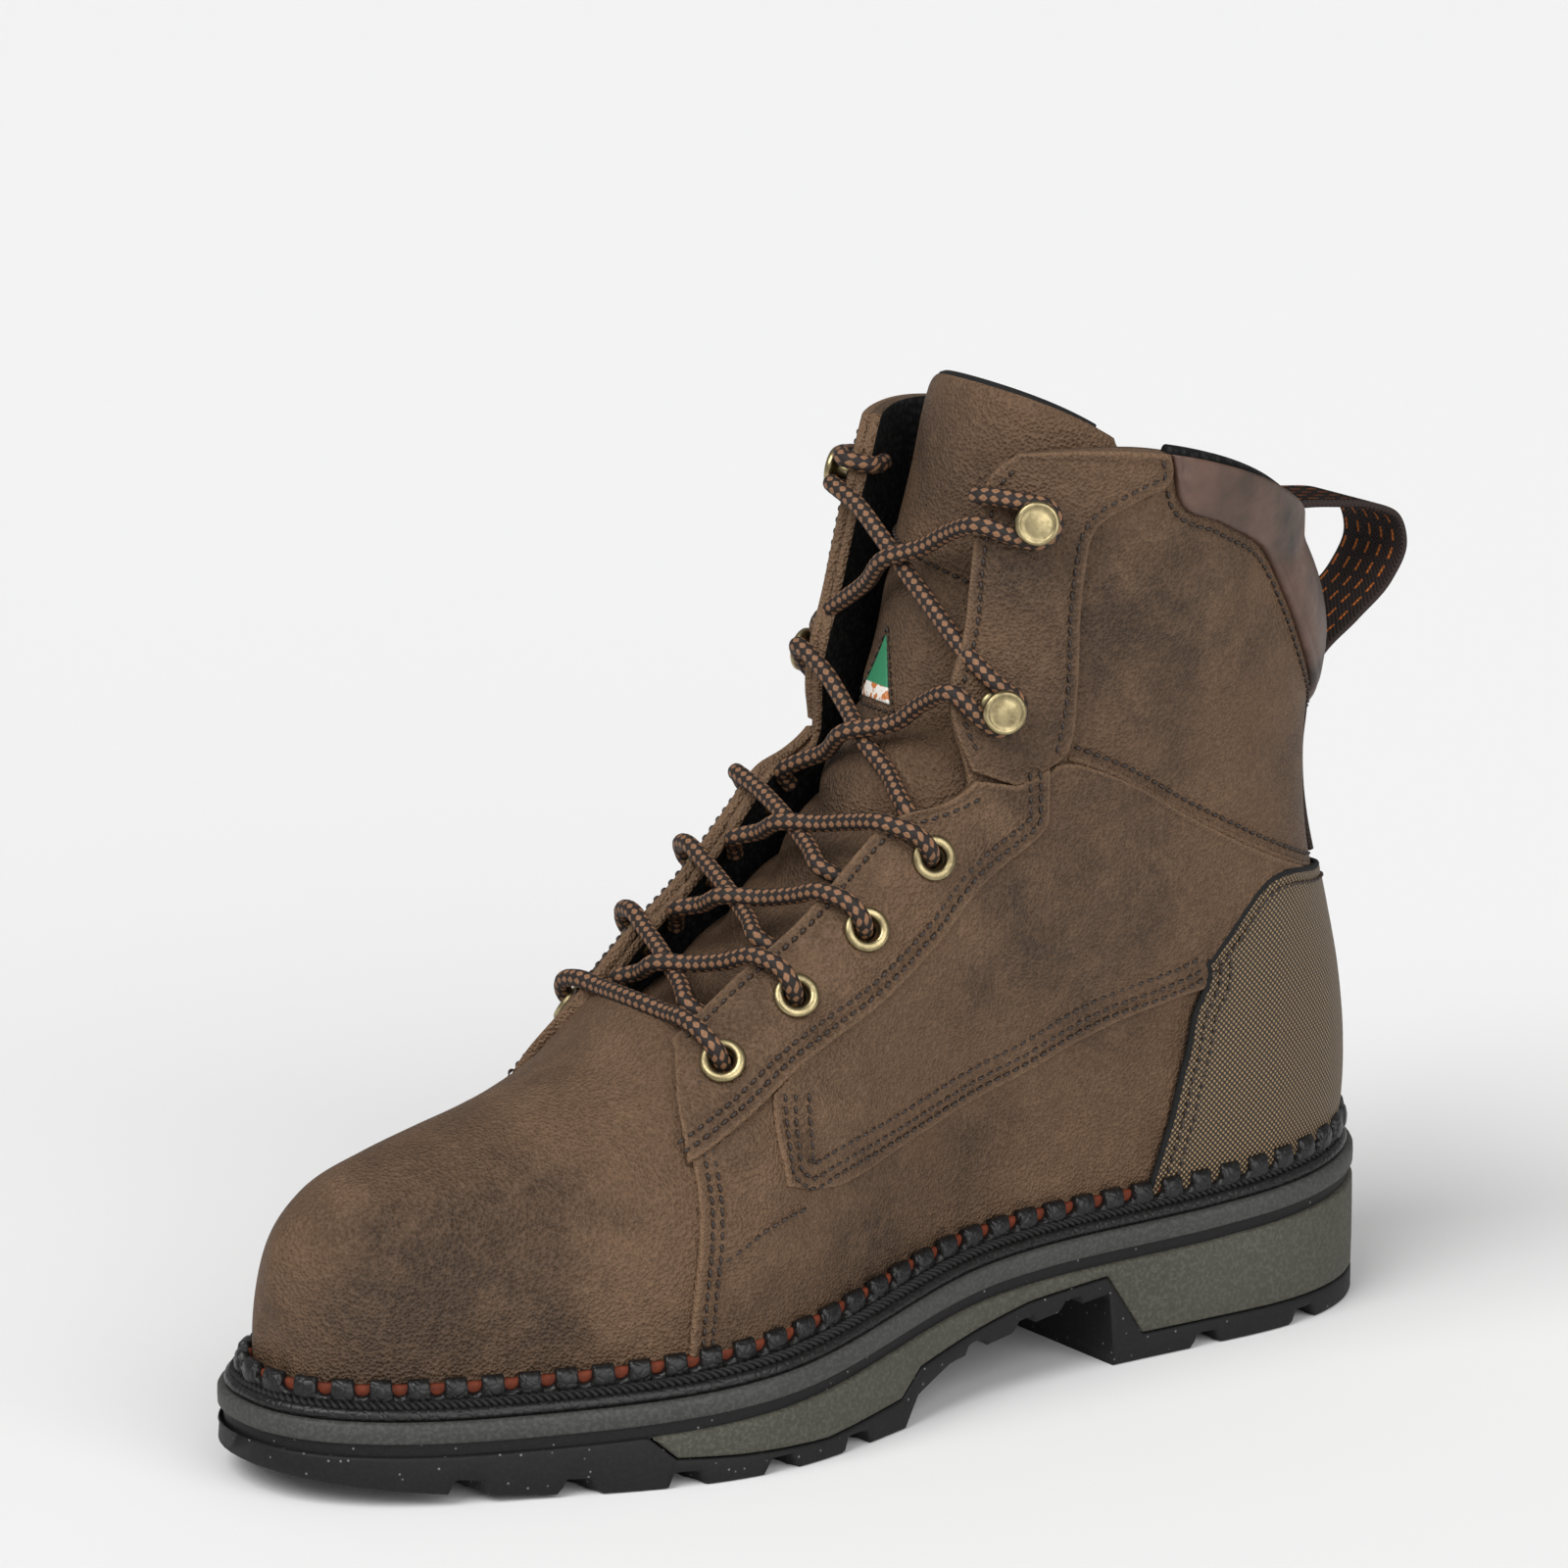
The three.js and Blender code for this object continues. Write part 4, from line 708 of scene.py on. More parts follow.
def nubuck(name="waxed_nubuck"):
    def make(name):
        c = colours()
        f = Finish(name, 0.62, specular=0.22)
        clouds = f.noise(17, 4, roughness=0.62)
        streaks = f.noise(60, 6, roughness=0.7)
        pebble = f.cells(1250)
        grain = f.noise(1300, 2)
        base = f.mix(f.between(clouds, 0.40, 0.64), tuple(c.nubuck), tuple(c.nubuck_dark))
        base = f.mix(f.between(streaks, 0.50, 0.75, 0, 0.5), base, tuple(c.nubuck_light))
        # Pebble grain: its ridges are mixed toward the light shade and its pores stay darker, as painted shade in the
        # pores of the grain.
        base = f.mix(f.between(pebble, 0.2, 0.7, 0, 0.22), base, tuple(c.nubuck_light))
        base = f.mix(f.between(grain, 0.45, 0.7, 0, 0.3), base, tuple(c.nubuck_dark))
        base = f.mix(f.math("MULTIPLY", f.value("worn"), 0.6), base, tuple(c.nubuck_light))
        f.set("Base Color", base)
        f.set("Roughness", f.between(clouds, 0.3, 0.7, 0.68, 0.5))
        fine = f.bump(grain, 0.6, 0.5)
        f.set("Normal", f.bump(f.math("ADD", pebble, f.math("MULTIPLY", streaks, 0.8)), 0.9, 0.7, fine))
        return f.material
    return once(name, make)


def smooth_leather(name="smooth_collar_leather"):
    def make(name):
        c = colours()
        f = Finish(name, 0.45, specular=0.5)
        clouds = f.noise(60, 3)
        creases = f.cells(420)
        f.set("Base Color", f.mix(f.between(clouds, 0.4, 0.7), tuple(c.smooth_leather), tuple(c.nubuck_dark)))
        f.set("Roughness", f.between(clouds, 0.3, 0.7, 0.42, 0.58))
        f.set("Normal", f.bump(f.math("ADD", creases, f.noise(900, 2)), 0.35, 0.35))
        return f.material
    return once(name, make)


def nylon(name="ballistic_nylon"):
    def make(name):
        c = colours()
        f = Finish(name, 0.55, specular=0.4)
        flat = f.flat("flat")
        parts = f.node("ShaderNodeSeparateXYZ", {"Vector": flat})
        turns = 2 * math.pi / (1.5 * MM)
        wave_x = f.math("SINE", f.math("MULTIPLY", parts.outputs["X"], turns))
        wave_y = f.math("SINE", f.math("MULTIPLY", parts.outputs["Y"], turns))
        dots = f.math("MULTIPLY", wave_x, wave_y)
        f.set("Base Color", f.mix(f.between(dots, 0.05, 0.45), tuple(c.nylon_dark), tuple(c.nylon_light)))
        f.set("Normal", f.bump(dots, 0.8, 0.25))
        return f.material
    return once(name, make)


def rubber(name, colour, specks=0.0, pebble=380, strength=0.4, roughness=0.62):
    def make(name):
        f = Finish(name, roughness, specular=0.28)
        grain = f.noise(pebble, 3)
        fine = f.noise(2200, 1)
        base = f.mix(f.between(f.noise(35, 3), 0.35, 0.7, 0, 0.35), tuple(colour), tuple(x * 1.5 for x in colour))
        base = f.mix(f.between(f.noise(1000, 2), 0.45, 0.62, 0, 0.6), base, tuple(x * 1.9 for x in colour))
        if specks:
            spots = f.between(f.cells(330), 0.05, 0.12, 1.0, 0.0)
            base = f.mix(f.math("MULTIPLY", spots, specks), base, srgb(150, 150, 150))
        f.set("Base Color", base)
        f.set("Normal", f.bump(f.math("ADD", grain, f.math("MULTIPLY", fine, 0.3)), strength, 0.5))
        return f.material
    return once(name, make)


def crackled(name="black_crackled_leather"):
    def make(name):
        f = Finish(name, 0.36, specular=0.35)
        cracks = f.cells(420, feature="DISTANCE_TO_EDGE")
        f.set("Base Color", f.mix(f.between(cracks, 0.0, 0.12), srgb(9, 9, 9), tuple(colours().welt)))
        f.set("Normal", f.bump(f.math("ADD", f.between(cracks, 0, 0.2), f.noise(600, 3)), 0.4, 0.25))
        return f.material
    return once(name, make)


def plain_fibre(name, colour, roughness=0.85, scale=900, strength=0.5):
    def make(name):
        f = Finish(name, roughness, specular=0.3)
        grain = f.noise(scale, 3)
        f.set("Base Color", f.mix(f.between(grain, 0.3, 0.7), tuple(colour), tuple(x * 0.55 for x in colour)))
        f.set("Normal", f.bump(grain, strength, 0.3))
        return f.material
    return once(name, make)


def mesh_lining(name="black_mesh_lining"):
    def make(name):
        f = Finish(name, 0.9, specular=0.25)
        knots = f.cells(620)
        f.set("Base Color", f.mix(f.between(knots, 0.2, 0.6), srgb(34, 34, 34), srgb(8, 8, 8)))
        f.set("Normal", f.bump(knots, 0.9, 0.4))
        return f.material
    return once(name, make)


def antique_brass(name="tarnished_brass"):
    def make(name):
        f = Finish(name, 0.34, metallic=1.0)
        tarnish = f.noise(260, 4, roughness=0.7)
        f.set("Base Color", f.mix(f.between(tarnish, 0.4, 0.7), tuple(colours().brass), srgb(118, 106, 78)))
        f.set("Roughness", f.between(tarnish, 0.35, 0.7, 0.26, 0.46))
        f.set("Normal", f.bump(f.noise(1500, 2), 0.15, 0.1))
        return f.material
    return once(name, make)


def braid(name="braided_lace"):
    def make(name):
        c = colours()
        f = Finish(name, 0.7, specular=0.35)
        parts = f.node("ShaderNodeSeparateXYZ", {"Vector": f.flat("flat")})
        run = f.math("MULTIPLY", parts.outputs["X"], math.pi / (2.5 * MM))
        turn = f.math("MULTIPLY", parts.outputs["Y"], 6 * math.pi / MM)
        first = f.math("SINE", f.math("ADD", run, turn))
        second = f.math("SINE", f.math("SUBTRACT", run, turn))
        fleck = f.between(f.math("MULTIPLY", first, second), 0.04, 0.28)
        base = f.mix(fleck, tuple(c.lace_dark), tuple(c.lace_light))
        fibres = f.noise(2600, 1)
        f.set("Base Color", f.mix(f.between(fibres, 0.4, 0.7, 0, 0.4), base, tuple(c.lace_dark)))
        f.set("Normal", f.bump(fibres, 0.4, 0.15))
        return f.material
    return once(name, make)


def webbing(name="dashed_webbing"):
    def make(name):
        c = colours()
        f = Finish(name, 0.8, specular=0.3)
        parts = f.node("ShaderNodeSeparateXYZ", {"Vector": f.flat("flat")})
        along = parts.outputs["X"]
        across = parts.outputs["Y"]
        rows = f.math("SINE", f.math("MULTIPLY", across, 2 * math.pi / (1.5 * MM)))
        picks = f.math("SINE", f.math("MULTIPLY", along, 2 * math.pi / (1.3 * MM)))
        lanes = f.math("SINE", f.math("MULTIPLY", across, 2 * math.pi / (4.4 * MM)))
        dashes = f.math("SINE", f.math("MULTIPLY", along, 2 * math.pi / (5.2 * MM)))
        thread = f.math("MULTIPLY", f.between(lanes, 0.80, 0.90), f.between(dashes, -0.5, -0.2))
        base = f.mix(f.between(f.math("MULTIPLY", rows, picks), -0.2, 0.6), tuple(c.webbing), srgb(24, 18, 17))
        f.set("Base Color", f.mix(thread, base, tuple(c.webbing_dash)))
        f.set("Normal", f.bump(f.math("MULTIPLY", rows, picks), 0.8, 0.35))
        return f.material
    return once(name, make)


def thread(name="waxed_thread"):
    def make(name):
        f = Finish(name, 0.5, specular=0.5)
        twist = f.noise(1800, 1)
        f.set("Base Color", f.mix(f.between(twist, 0.35, 0.65), tuple(colours().thread), srgb(30, 21, 16)))
        f.set("Normal", f.bump(twist, 0.5, 0.15))
        return f.material
    return once(name, make)


# Small shapes


def tube(shape, path, reference, radius, sides, height=None, finish=0, **values):
    """Round tube along a path, closed at its ends, its seam turned away from the reference direction.
    height(run, angle) is a factor on the radius, and each value is a function of run and angle too."""
    along = unit(np.gradient(path, axis=0))
    across = unit(np.cross(along, reference))
    up = unit(np.cross(across, along))
    angle = np.linspace(-np.pi / 2, 1.5 * np.pi, sides + 1)
    sides = sides + 1
    run = np.r_[0, np.cumsum(np.linalg.norm(np.diff(path, axis=0), axis=1))]
    factor = np.ones((len(path), sides)) if height is None else height(run[:, None], angle[None])
    around = across[:, None] * np.cos(angle)[None, :, None] + up[:, None] * np.sin(angle)[None, :, None]
    rings = path[:, None] + around * (radius * factor)[..., None]
    closed = np.concatenate([np.repeat(path[:1, None], sides, 1), rings, np.repeat(path[-1:, None], sides, 1)])
    wide = {}
    for name, value in values.items():
        value = value(run[:, None], angle[None])
        wide[name] = np.concatenate([value[:1], value, value[-1:]])
    shape.add(closed, quads(len(path) + 2, sides), finish, **wide)


def lathe(shape, centre, axis, profile, sides=40, finish=0):
    """Profile of radius and height turned round an axis."""
    axis = unit(np.asarray(axis, float))
    first = unit(np.cross(axis, [0.31, 0.17, 0.93]))
    second = np.cross(axis, first)
    angle = np.linspace(0, 2 * np.pi, sides, endpoint=False)
    circle = first[None] * np.cos(angle)[:, None] + second[None] * np.sin(angle)[:, None]
    profile = np.asarray(profile, float)
    points = centre + circle[None] * profile[:, 0, None, None] + axis * profile[:, 1, None, None]
    shape.add(points, quads(len(profile), sides, closed_columns=True)[:, ::-1], finish)


def ring(shape, path, outward, profile, finish=0, **values):
    """Profile of outward and upward steps carried round a closed level path."""
    profile = np.asarray(profile, float)
    if profile.ndim == 2:
        profile = np.broadcast_to(profile, (len(path), *profile.shape))
    points = path[:, None] + outward[:, None] * profile[..., :1]
    points = points + np.array([0, 0, 1.0]) * profile[..., 1:]
    faces = quads(len(path), profile.shape[1], closed_rows=True, closed_columns=True)
    shape.add(points, faces, finish, **values)


def stitches(shape, path, normals, pitch, length, radius, sink=0.12):
    """Short rounded threads laid end to end along a path, each leaning a little across it."""
    run = np.r_[0, np.cumsum(np.linalg.norm(np.diff(path, axis=0), axis=1))]
    count = max(int(run[-1] / pitch), 1)
    at = (np.arange(count) + 0.5) * run[-1] / count

    def pick(table):
        return np.stack([np.interp(at, run, table[:, k]) for k in range(3)], -1)

    centre = pick(path)
    up = unit(pick(normals))
    along = unit(pick(np.gradient(path, axis=0)))
    across = unit(np.cross(up, along))
    along = unit(along + 0.12 * across)
    across = unit(np.cross(up, along))
    steps = np.array([-1.0, -0.82, -0.4, 0.0, 0.4, 0.82, 1.0])
    girth = np.array([0.0, 0.62, 0.95, 1.0, 0.95, 0.62, 0.0])
    arch = 0.30 * (1 - steps ** 2) - 0.25 * steps ** 4
    angle = np.linspace(0, 2 * np.pi, 6, endpoint=False)
    lengthways = (steps * length / 2)[None, :, None, None]
    sideways = (radius * girth[:, None] * np.cos(angle))[None, :, :, None]
    upward = (radius * girth[:, None] * np.sin(angle) + arch[:, None] - sink)[None, :, :, None]
    threads = (centre[:, None, None] + along[:, None, None] * lengthways
               + across[:, None, None] * sideways + up[:, None, None] * upward)
    faces = quads(len(steps), len(angle), closed_columns=True)
    block = len(steps) * len(angle)
    every = (faces[None] + (np.arange(count) * block)[:, None, None]).reshape(-1, 4)
    shape.add(threads, every)


def on_body(rows, side, lift, step=1.2):
    """Path over the body through rows of two shares, with the outward directions along it."""
    spread = np.array([400.0, 150.0])
    shares = path_through(np.asarray(rows, float) * spread, step=2.0) / spread
    normals = body_normal(shares[:, 0], shares[:, 1], side)
    points = body(shares[:, 0], shares[:, 1], side)
    points = points + normals * (lift + relief(points))[:, None]
    return points, normals


def beside(points, normals, distance):
    """Path moved sideways over the surface by a distance."""
    along = unit(np.gradient(points, axis=0))
    return points + np.cross(normals, along) * distance


# Pieces of the sole


def sole_section(x, inset, low, high, columns, corner=0.8):
    """Closed cross sections of a sole layer: across the bottom, up one side, back over the top."""
    share = np.cos(np.linspace(np.pi, 0, columns))
    outer = sole_edge(x, 1, inset)
    inner = sole_edge(x, -1, inset)
    middle = (outer + inner) / 2
    half = (outer - inner) / 2
    scale = np.clip(half / 8, 0, 1)
    rim = corner * scale
    y_low = middle[:, None] + (half - rim)[:, None] * share
    z_low = low(np.broadcast_to(x[:, None], y_low.shape), y_low)
    z_top = high(x)
    pull = np.array([1.0, 0.3, 0.0])
    lift = np.array([0.0, 0.3, 1.0])
    y_up = (middle + half)[:, None] - rim[:, None] * pull
    z_up = z_low[:, -1:] + rim[:, None] * lift
    y_over = (middle + half)[:, None] - rim[:, None] * pull[::-1]
    z_over = z_top[:, None] - rim[:, None] * lift[::-1]
    y_back = (middle - half)[:, None] + rim[:, None] * pull
    z_back = z_top[:, None] - rim[:, None] * lift
    y_down = (middle - half)[:, None] + rim[:, None] * pull[::-1]
    z_down = z_low[:, :1] + rim[:, None] * lift[::-1]
    y = np.concatenate([y_low, y_up[:, 1:], y_over, y_back[:, ::-1], y_down[:, :-1]], 1)
    z = np.concatenate([z_low, z_up[:, 1:], z_over, z_back[:, ::-1], z_down[:, :-1]], 1)
    return np.stack([np.broadcast_to(x[:, None], y.shape), y, z], -1)


def lug_depth(x, y):
    """Depth of the tread's grooves: slanted bars from both edges and a zigzag channel in the middle."""
    depth = 0
    for at in (0.578, 0.654, 0.730, 0.806, 0.882):
        for side in (1, -1):
            inside = side * (sole_edge(x, side, 0) - y)
            lean = at * LENGTH + 0.18 * np.clip(inside, 0, 60)
            bar = ease(4.6, 3.0, np.abs(x - lean)) * ease(36, 33, inside) * ease(-9, -8, inside)
            depth = np.maximum(depth, 3.6 * bar)
    for at in (0.115, 0.215):
        for side in (1, -1):
            inside = side * (sole_edge(x, side, 0) - y)
            bar = ease(4.4, 2.8, np.abs(x - at * LENGTH)) * ease(24, 21, inside)
            depth = np.maximum(depth, 3.4 * bar)
    for at in (0.345, 0.391, 0.442):
        depth = np.maximum(depth, 2.2 * ease(3.6, 2.2, np.abs(x - at * LENGTH)))
    wave = y - centre_line(x) - 4 * np.sin(x / 9)
    channel = ease(5.5, 4.0, np.abs(wave)) * ease(0.56, 0.58, x / LENGTH) * ease(0.9, 0.88, x / LENGTH)
    heel = ease(5.5, 4.0, np.abs(y)) * ease(0.06, 0.075, x / LENGTH) * ease(0.27, 0.255, x / LENGTH)
    return np.maximum(depth, 3.6 * np.maximum(channel, heel))


def stations(extra=(), spacing=1.1):
    """Stations along the sole, closer at both ends and beside the places asked for."""
    ends = (1 - np.cos(np.linspace(0, np.pi, 60))) / 2
    even = np.linspace(0.0, 1.0, int(LENGTH / spacing))
    near = np.concatenate([[at - 0.002, at, at + 0.002] for at in extra]) if len(extra) else np.array([])
    turn = np.concatenate([ends[:14], ends[-14:], even, near])
    return np.unique(np.clip(np.round(turn, 5), 0, 1)) * LENGTH


class BOOT_OT_outsole(bpy.types.Operator):
    """Black rubber outsole with lugs, and the black band under the grey midsole"""

    bl_idname = "boot.outsole"
    bl_label = "Outsole"

    def execute(self, context):
        x = stations(TREAD[:, 0])
        insert_front = INSERT_EDGE[-1, 0] * LENGTH

        def low(px, py):
            return tread(px) + lug_depth(px, py)

        def rim(px):
            under_band = sole_top(px) - BAND - GROOVE
            return np.where(px <= insert_front, np.minimum(insert_edge(px), under_band), under_band)

        shape = Shape()
        points = sole_section(x, 0.0, low, rim, 96)
        shape.add(points, quads(len(x), points.shape[1], closed_columns=True)[:, ::-1])
        material = rubber("matte_outsole_rubber", colours().rubber, specks=0.5, pebble=500, strength=0.25)
        shape.piece("outsole_tread", [material], "black_rubber", "outsole", outward=True)
        path, _ = loop_round(lambda px, side: sole_edge(px, side, 1.3), 1.3, LENGTH - 1.3, 700)
        level = sole_top(path[:, 0]) - BAND - GROOVE
        path = np.c_[path, level]
        band = Shape()
        ring(band, path, outward_of(path[:, :2]), [(0, -0.5), (0, GROOVE + 0.4), (-9, GROOVE + 0.4), (-9, -0.5)])
        band.piece("groove_band", [material], "black_rubber", "outsole", outward=True, smooth=False)
        return {"FINISHED"}


class BOOT_OT_side_insert(bpy.types.Operator):
    """Pebbled grey-green rubber let into the side of the outsole"""

    bl_idname = "boot.side_insert"
    bl_label = "Side insert"

    def execute(self, context):
        front = INSERT_EDGE[-1, 0] * LENGTH
        path, _ = loop_round(lambda px, side: sole_edge(px, side, 0.0), 0, LENGTH, 1500)
        start = int(np.argmax(path[:, 0]))
        path = np.roll(path, -start, 0)
        outward = outward_of(path)
        keep = path[:, 0] <= front
        path, outward = path[keep], outward[keep]
        low = insert_edge(path[:, 0]) + 0.15
        high = sole_top(path[:, 0]) - BAND - GROOVE - 0.1
        tall = np.maximum(high - low, 0.05)
        rise = np.array([0, 0, 0.25, 0.8, 0.0, 0.0, -0.8, -0.25, 0, 0])
        part = np.array([0, 0, 0, 0, 0.33, 0.66, 1, 1, 1, 1])
        out = np.array([-4, -1.2, -0.35, -0.05, 0.05, 0.05, -0.05, -0.35, -1.2, -4])
        z = low[:, None] + tall[:, None] * part + rise * np.clip(tall, 0, 2)[:, None] / 2
        points = np.stack([path[:, :1] + outward[:, :1] * out, path[:, 1:2] + outward[:, 1:2] * out, z], -1)
        shape = Shape()
        shape.add(points, quads(*points.shape[:2], closed_columns=True))
        material = rubber("pebbled_insert_rubber", colours().insert, pebble=900, strength=0.75, roughness=0.7)
        shape.piece("sidewall_insert_skin", [material], "green_rubber", "sidewall_insert", outward=True)
        return {"FINISHED"}


class BOOT_OT_midsole(bpy.types.Operator):
    """Grey midsole band"""

    bl_idname = "boot.midsole"
    bl_label = "Midsole band"

    def execute(self, context):
        path, _ = loop_round(lambda px, side: sole_edge(px, side, 0.0), 0, LENGTH, 900)
        path = np.c_[path, sole_top(path[:, 0]) - BAND]
        profile = [
            (-1.2, 0), (-0.3, 0.1), (0, 0.5), (0.05, BAND / 2), (0, BAND - 0.9), (-0.35, BAND - 0.25),
            (-1.3, BAND), (-22, BAND), (-22, 0),
        ]
        shape = Shape()
        ring(shape, path, outward_of(path[:, :2]), profile)
        material = rubber("brushed_midsole_rubber", colours().midsole, pebble=260, strength=0.2, roughness=0.6)
        shape.piece("midsole_ring", [material], "grey_rubber", "midsole_band", outward=True)
        return {"FINISHED"}


class BOOT_OT_welt(bpy.types.Operator):
    """Black welt with a chunky twisted seam lying on it"""

    bl_idname = "boot.welt"
    bl_label = "Welt"

    def execute(self, context):
        path, _ = loop_round(lambda px, side: sole_edge(px, side, 1.5), 1.5, LENGTH - 1.5, 900)
        level = np.c_[path, sole_top(path[:, 0])]
        outward = outward_of(path)
        profile = [
            (-0.9, 0.1), (-0.1, 0.3), (0, 1.2), (-0.3, 2.2), (-1.2, 2.8), (-3, 2.5), (-7, 2.5),
            (-19, 2.7), (-19, 0.1),
        ]
        shape = Shape()
        ring(shape, level, outward, profile)
        shape.piece("welt_ring", [crackled()], "black_leather", "welt", outward=True)
        route, length = loop_round(lambda px, side: sole_edge(px, side, 4.6), 4.6, LENGTH - 4.6, 1900)
        route = np.c_[route, welt_top(route[:, 0]) + 0.1]
        turns = round(length / 5.4)
        run = np.linspace(0, 2 * np.pi * turns, len(route), endpoint=False)
        out = outward_of(route[:, :2])
        up = np.array([0, 0, 1.0])
        rope = Shape()
        for phase in (0, 2 * np.pi / 3, 4 * np.pi / 3):
            twist = run + phase
            centre = route + out * (1.15 * np.cos(twist))[:, None] + up * (0.55 * np.sin(twist))[:, None]
            angle = np.linspace(0, 2 * np.pi, 8, endpoint=False)
            sideways = (0.85 * np.cos(angle))[None, :, None]
            upward = (0.75 * np.sin(angle))[None, :, None]
            ply = centre[:, None] + out[:, None] * sideways + up * upward
            rope.add(ply, quads(len(route), 8, closed_rows=True, closed_columns=True))
        fibre = plain_fibre("black_welt_thread", srgb(24, 24, 24), 0.6, 1500, 0.7)
        rope.piece("welt_seam", [fibre], "black_leather", "welt", outward=True)
        return {"FINISHED"}


def foot_outline(rise, away):
    """Edge function of the upper's outline at a height above the welt, moved outward."""
    def edge(x, side):
        z = welt_top(np.clip(x, 0, LENGTH)) + rise
        return centre_line(x) + side * body_width(x, z, side, away)
    return edge


class BOOT_OT_rand(bpy.types.Operator):
    """Black rolled rand with a U-shaped notch at each stitch, and the rust leather behind it"""

    bl_idname = "boot.rand"
    bl_label = "Rand"

    def execute(self, context):
        away = 1.9
        back_x = float(back_seam(welt_top(np.array(BACK_FOOT))))
        path, length = loop_round(foot_outline(3, away), back_x - away, NOSE + away, 6000)
        count = round(length / sizes().notch_pitch)
        half = sizes().notch_width / 2
        pitch = length / count
        local = np.concatenate([
            np.linspace(-pitch / 2, -half - 0.15, 5, endpoint=False),
            np.linspace(-half - 0.15, half + 0.15, 15, endpoint=False),
            np.linspace(half + 0.15, pitch / 2, 5, endpoint=False),
        ])
        along = (np.arange(count)[:, None] * pitch + local[None] + pitch / 2).ravel()
        local = np.tile(local, count)
        closed = np.concatenate([path, path[:1]])
        run = np.linspace(0, length, len(closed))
        places = np.stack([np.interp(along, run, closed[:, k]) for k in (0, 1)], -1)
        places = np.c_[places, welt_top(places[:, 0]) - 0.15]
        outward = outward_of(places[:, :2])
        inside = np.abs(local) < half
        bowl = np.sqrt(np.maximum(half ** 2 - local ** 2, 0))
        top = np.where(inside, 3.7 - bowl, 5.9)
        swell = 1.05 - 0.16 * np.cos(2 * np.pi * local / pitch)
        roll = np.clip(top / 5.9, 0.25, 1)
        out = np.array([1.6, 1.9, 2.0, 1.7, 1.0, 0.0, -0.9, -1.25, -1.3, -1.3])
        part = np.array([0, 0.22, 0.55, 0.82, 0.97, 1.0, 0.93, 0.7, 0.3, 0])
        profile = np.stack([out[None] * (0.8 + 0.2 * roll[:, None]) * swell[:, None], part[None] * top[:, None]], -1)
        shape = Shape()
        ring(shape, places, outward, profile)
        shape.piece("rand_roll", [crackled()], "black_leather", "rand", outward=True)
        strip = Shape()
        inner, _ = loop_round(foot_outline(3, 0.75), back_x - 0.75, NOSE + 0.75, 900)
        inner = np.c_[inner, welt_top(inner[:, 0]) - 0.2]
        ring(strip, inner, outward_of(inner[:, :2]), [(0.95, 0), (1.0, 3.6), (0.6, 4.3), (-0.5, 4.3), (-0.5, 0)])
        rust = plain_fibre("rust_leather", colours().rust, 0.7, 700, 0.3)
        strip.piece("rand_backing", [rust], "black_leather", "rand", outward=True)
        return {"FINISHED"}


class BOOT_OT_insole(bpy.types.Operator):
    """Padded insole with a mesh cover"""

    bl_idname = "boot.insole"
    bl_label = "Insole"

    def execute(self, context):
        inset = LEDGE + 4.0
        x = inset + (LENGTH - 2 * inset) * (1 - np.cos(np.linspace(0, np.pi, 160))) / 2

        def low(px, py):
            return welt_top(px) + 0.1

        def high(px):
            return welt_top(px) + 4.6

        points = sole_section(x, inset, low, high, 40, corner=1.6)
        shape = Shape()
        shape.add(points, quads(len(x), points.shape[1], closed_columns=True)[:, ::-1])
        shape.piece("insole_pad", [mesh_lining()], "lining", "insole", outward=True)
        return {"FINISHED"}


# Pieces of the upper

OVERLAP = 1.5


def quarter_lift(s, v):
    """Raised edge of the quarters over the vamp, fading back along the fan."""
    return OVERLAP * (1 - ease(0, 0.16, s - vamp_seam(v)))


class BOOT_OT_vamp(bpy.types.Operator):
    """Toe and vamp in one piece of nubuck over the safety cap"""

    bl_idname = "boot.vamp"
    bl_label = "Vamp"

    def execute(self, context):
        a = np.linspace(0, 1, 150) ** 1.15
        b = np.linspace(0, 1, 110) ** 1.35
        shape = Shape()
        for side in (1, -1):
            v = np.broadcast_to(b[None], (len(a), len(b)))
            s = 0.03 + a[:, None] * (vamp_seam(v) + 0.012 - 0.03)
            points = body(s, v, side)
            normals = body_normal(np.maximum(s, 0.04), v, side)
            normals[:, 0, 1] = 0
            normals[0, :, 1] = 0
            normals = unit(normals)
            points[:, 0, 1] = centre_line(points[:, 0, 0])
            points[0, :, 1] = centre_line(points[0, :, 0])
            lift = relief(points)
            leather_shell(shape, points, normals, lift, 2.4, side, (0, 1), (0, 1, 0, 1), worn=np.zeros(v.shape))
        shape.piece("vamp", [nubuck(), mesh_lining()], "nubuck", "upper")
        return {"FINISHED"}


def quarter_grid():
    """Shares of the quarters: rows from the vamp seam to the collar, columns from lace edge to foot."""
    a = np.concatenate([np.array([0, 0.9, 1.8, 3.0, 4.2, 5.4, 6.8]) / 600, np.linspace(0.015, 1, 165)])
    b = np.concatenate([np.array([0, 0.006, 0.013, 0.022, 0.032, 0.045]), np.linspace(0.06, 1, 92)])
    seam = vamp_seam(0.22)
    front = lace_edge(seam + (1 - seam) * a)
    v = front[:, None] + (1 - front[:, None]) * b[None]
    s = vamp_seam(v) + (1 - vamp_seam(v)) * a[:, None]
    return s, v


def eyelet_cutter():
    """Rods along the eyelets' axes, used to pierce the leather."""
    cutter = Shape()
    for side in (1, -1):
        for s in EYELETS:
            v = in_from_edge(s, EYELET_INSET, side)
            centre = body(s, v, side)
            axis = body_normal(s, v, side)
            lathe(cutter, centre, axis, [(0, -12), (3.0, -12), (3.0, 12), (0, 12)], 24)
    points = np.concatenate(cutter.points)
    mesh = bpy.data.meshes.new("eyelet_rods")
    mesh.from_pydata(to_frame(points).tolist(), [], np.concatenate(cutter.faces).tolist())
    weld(mesh, True)
    return mesh


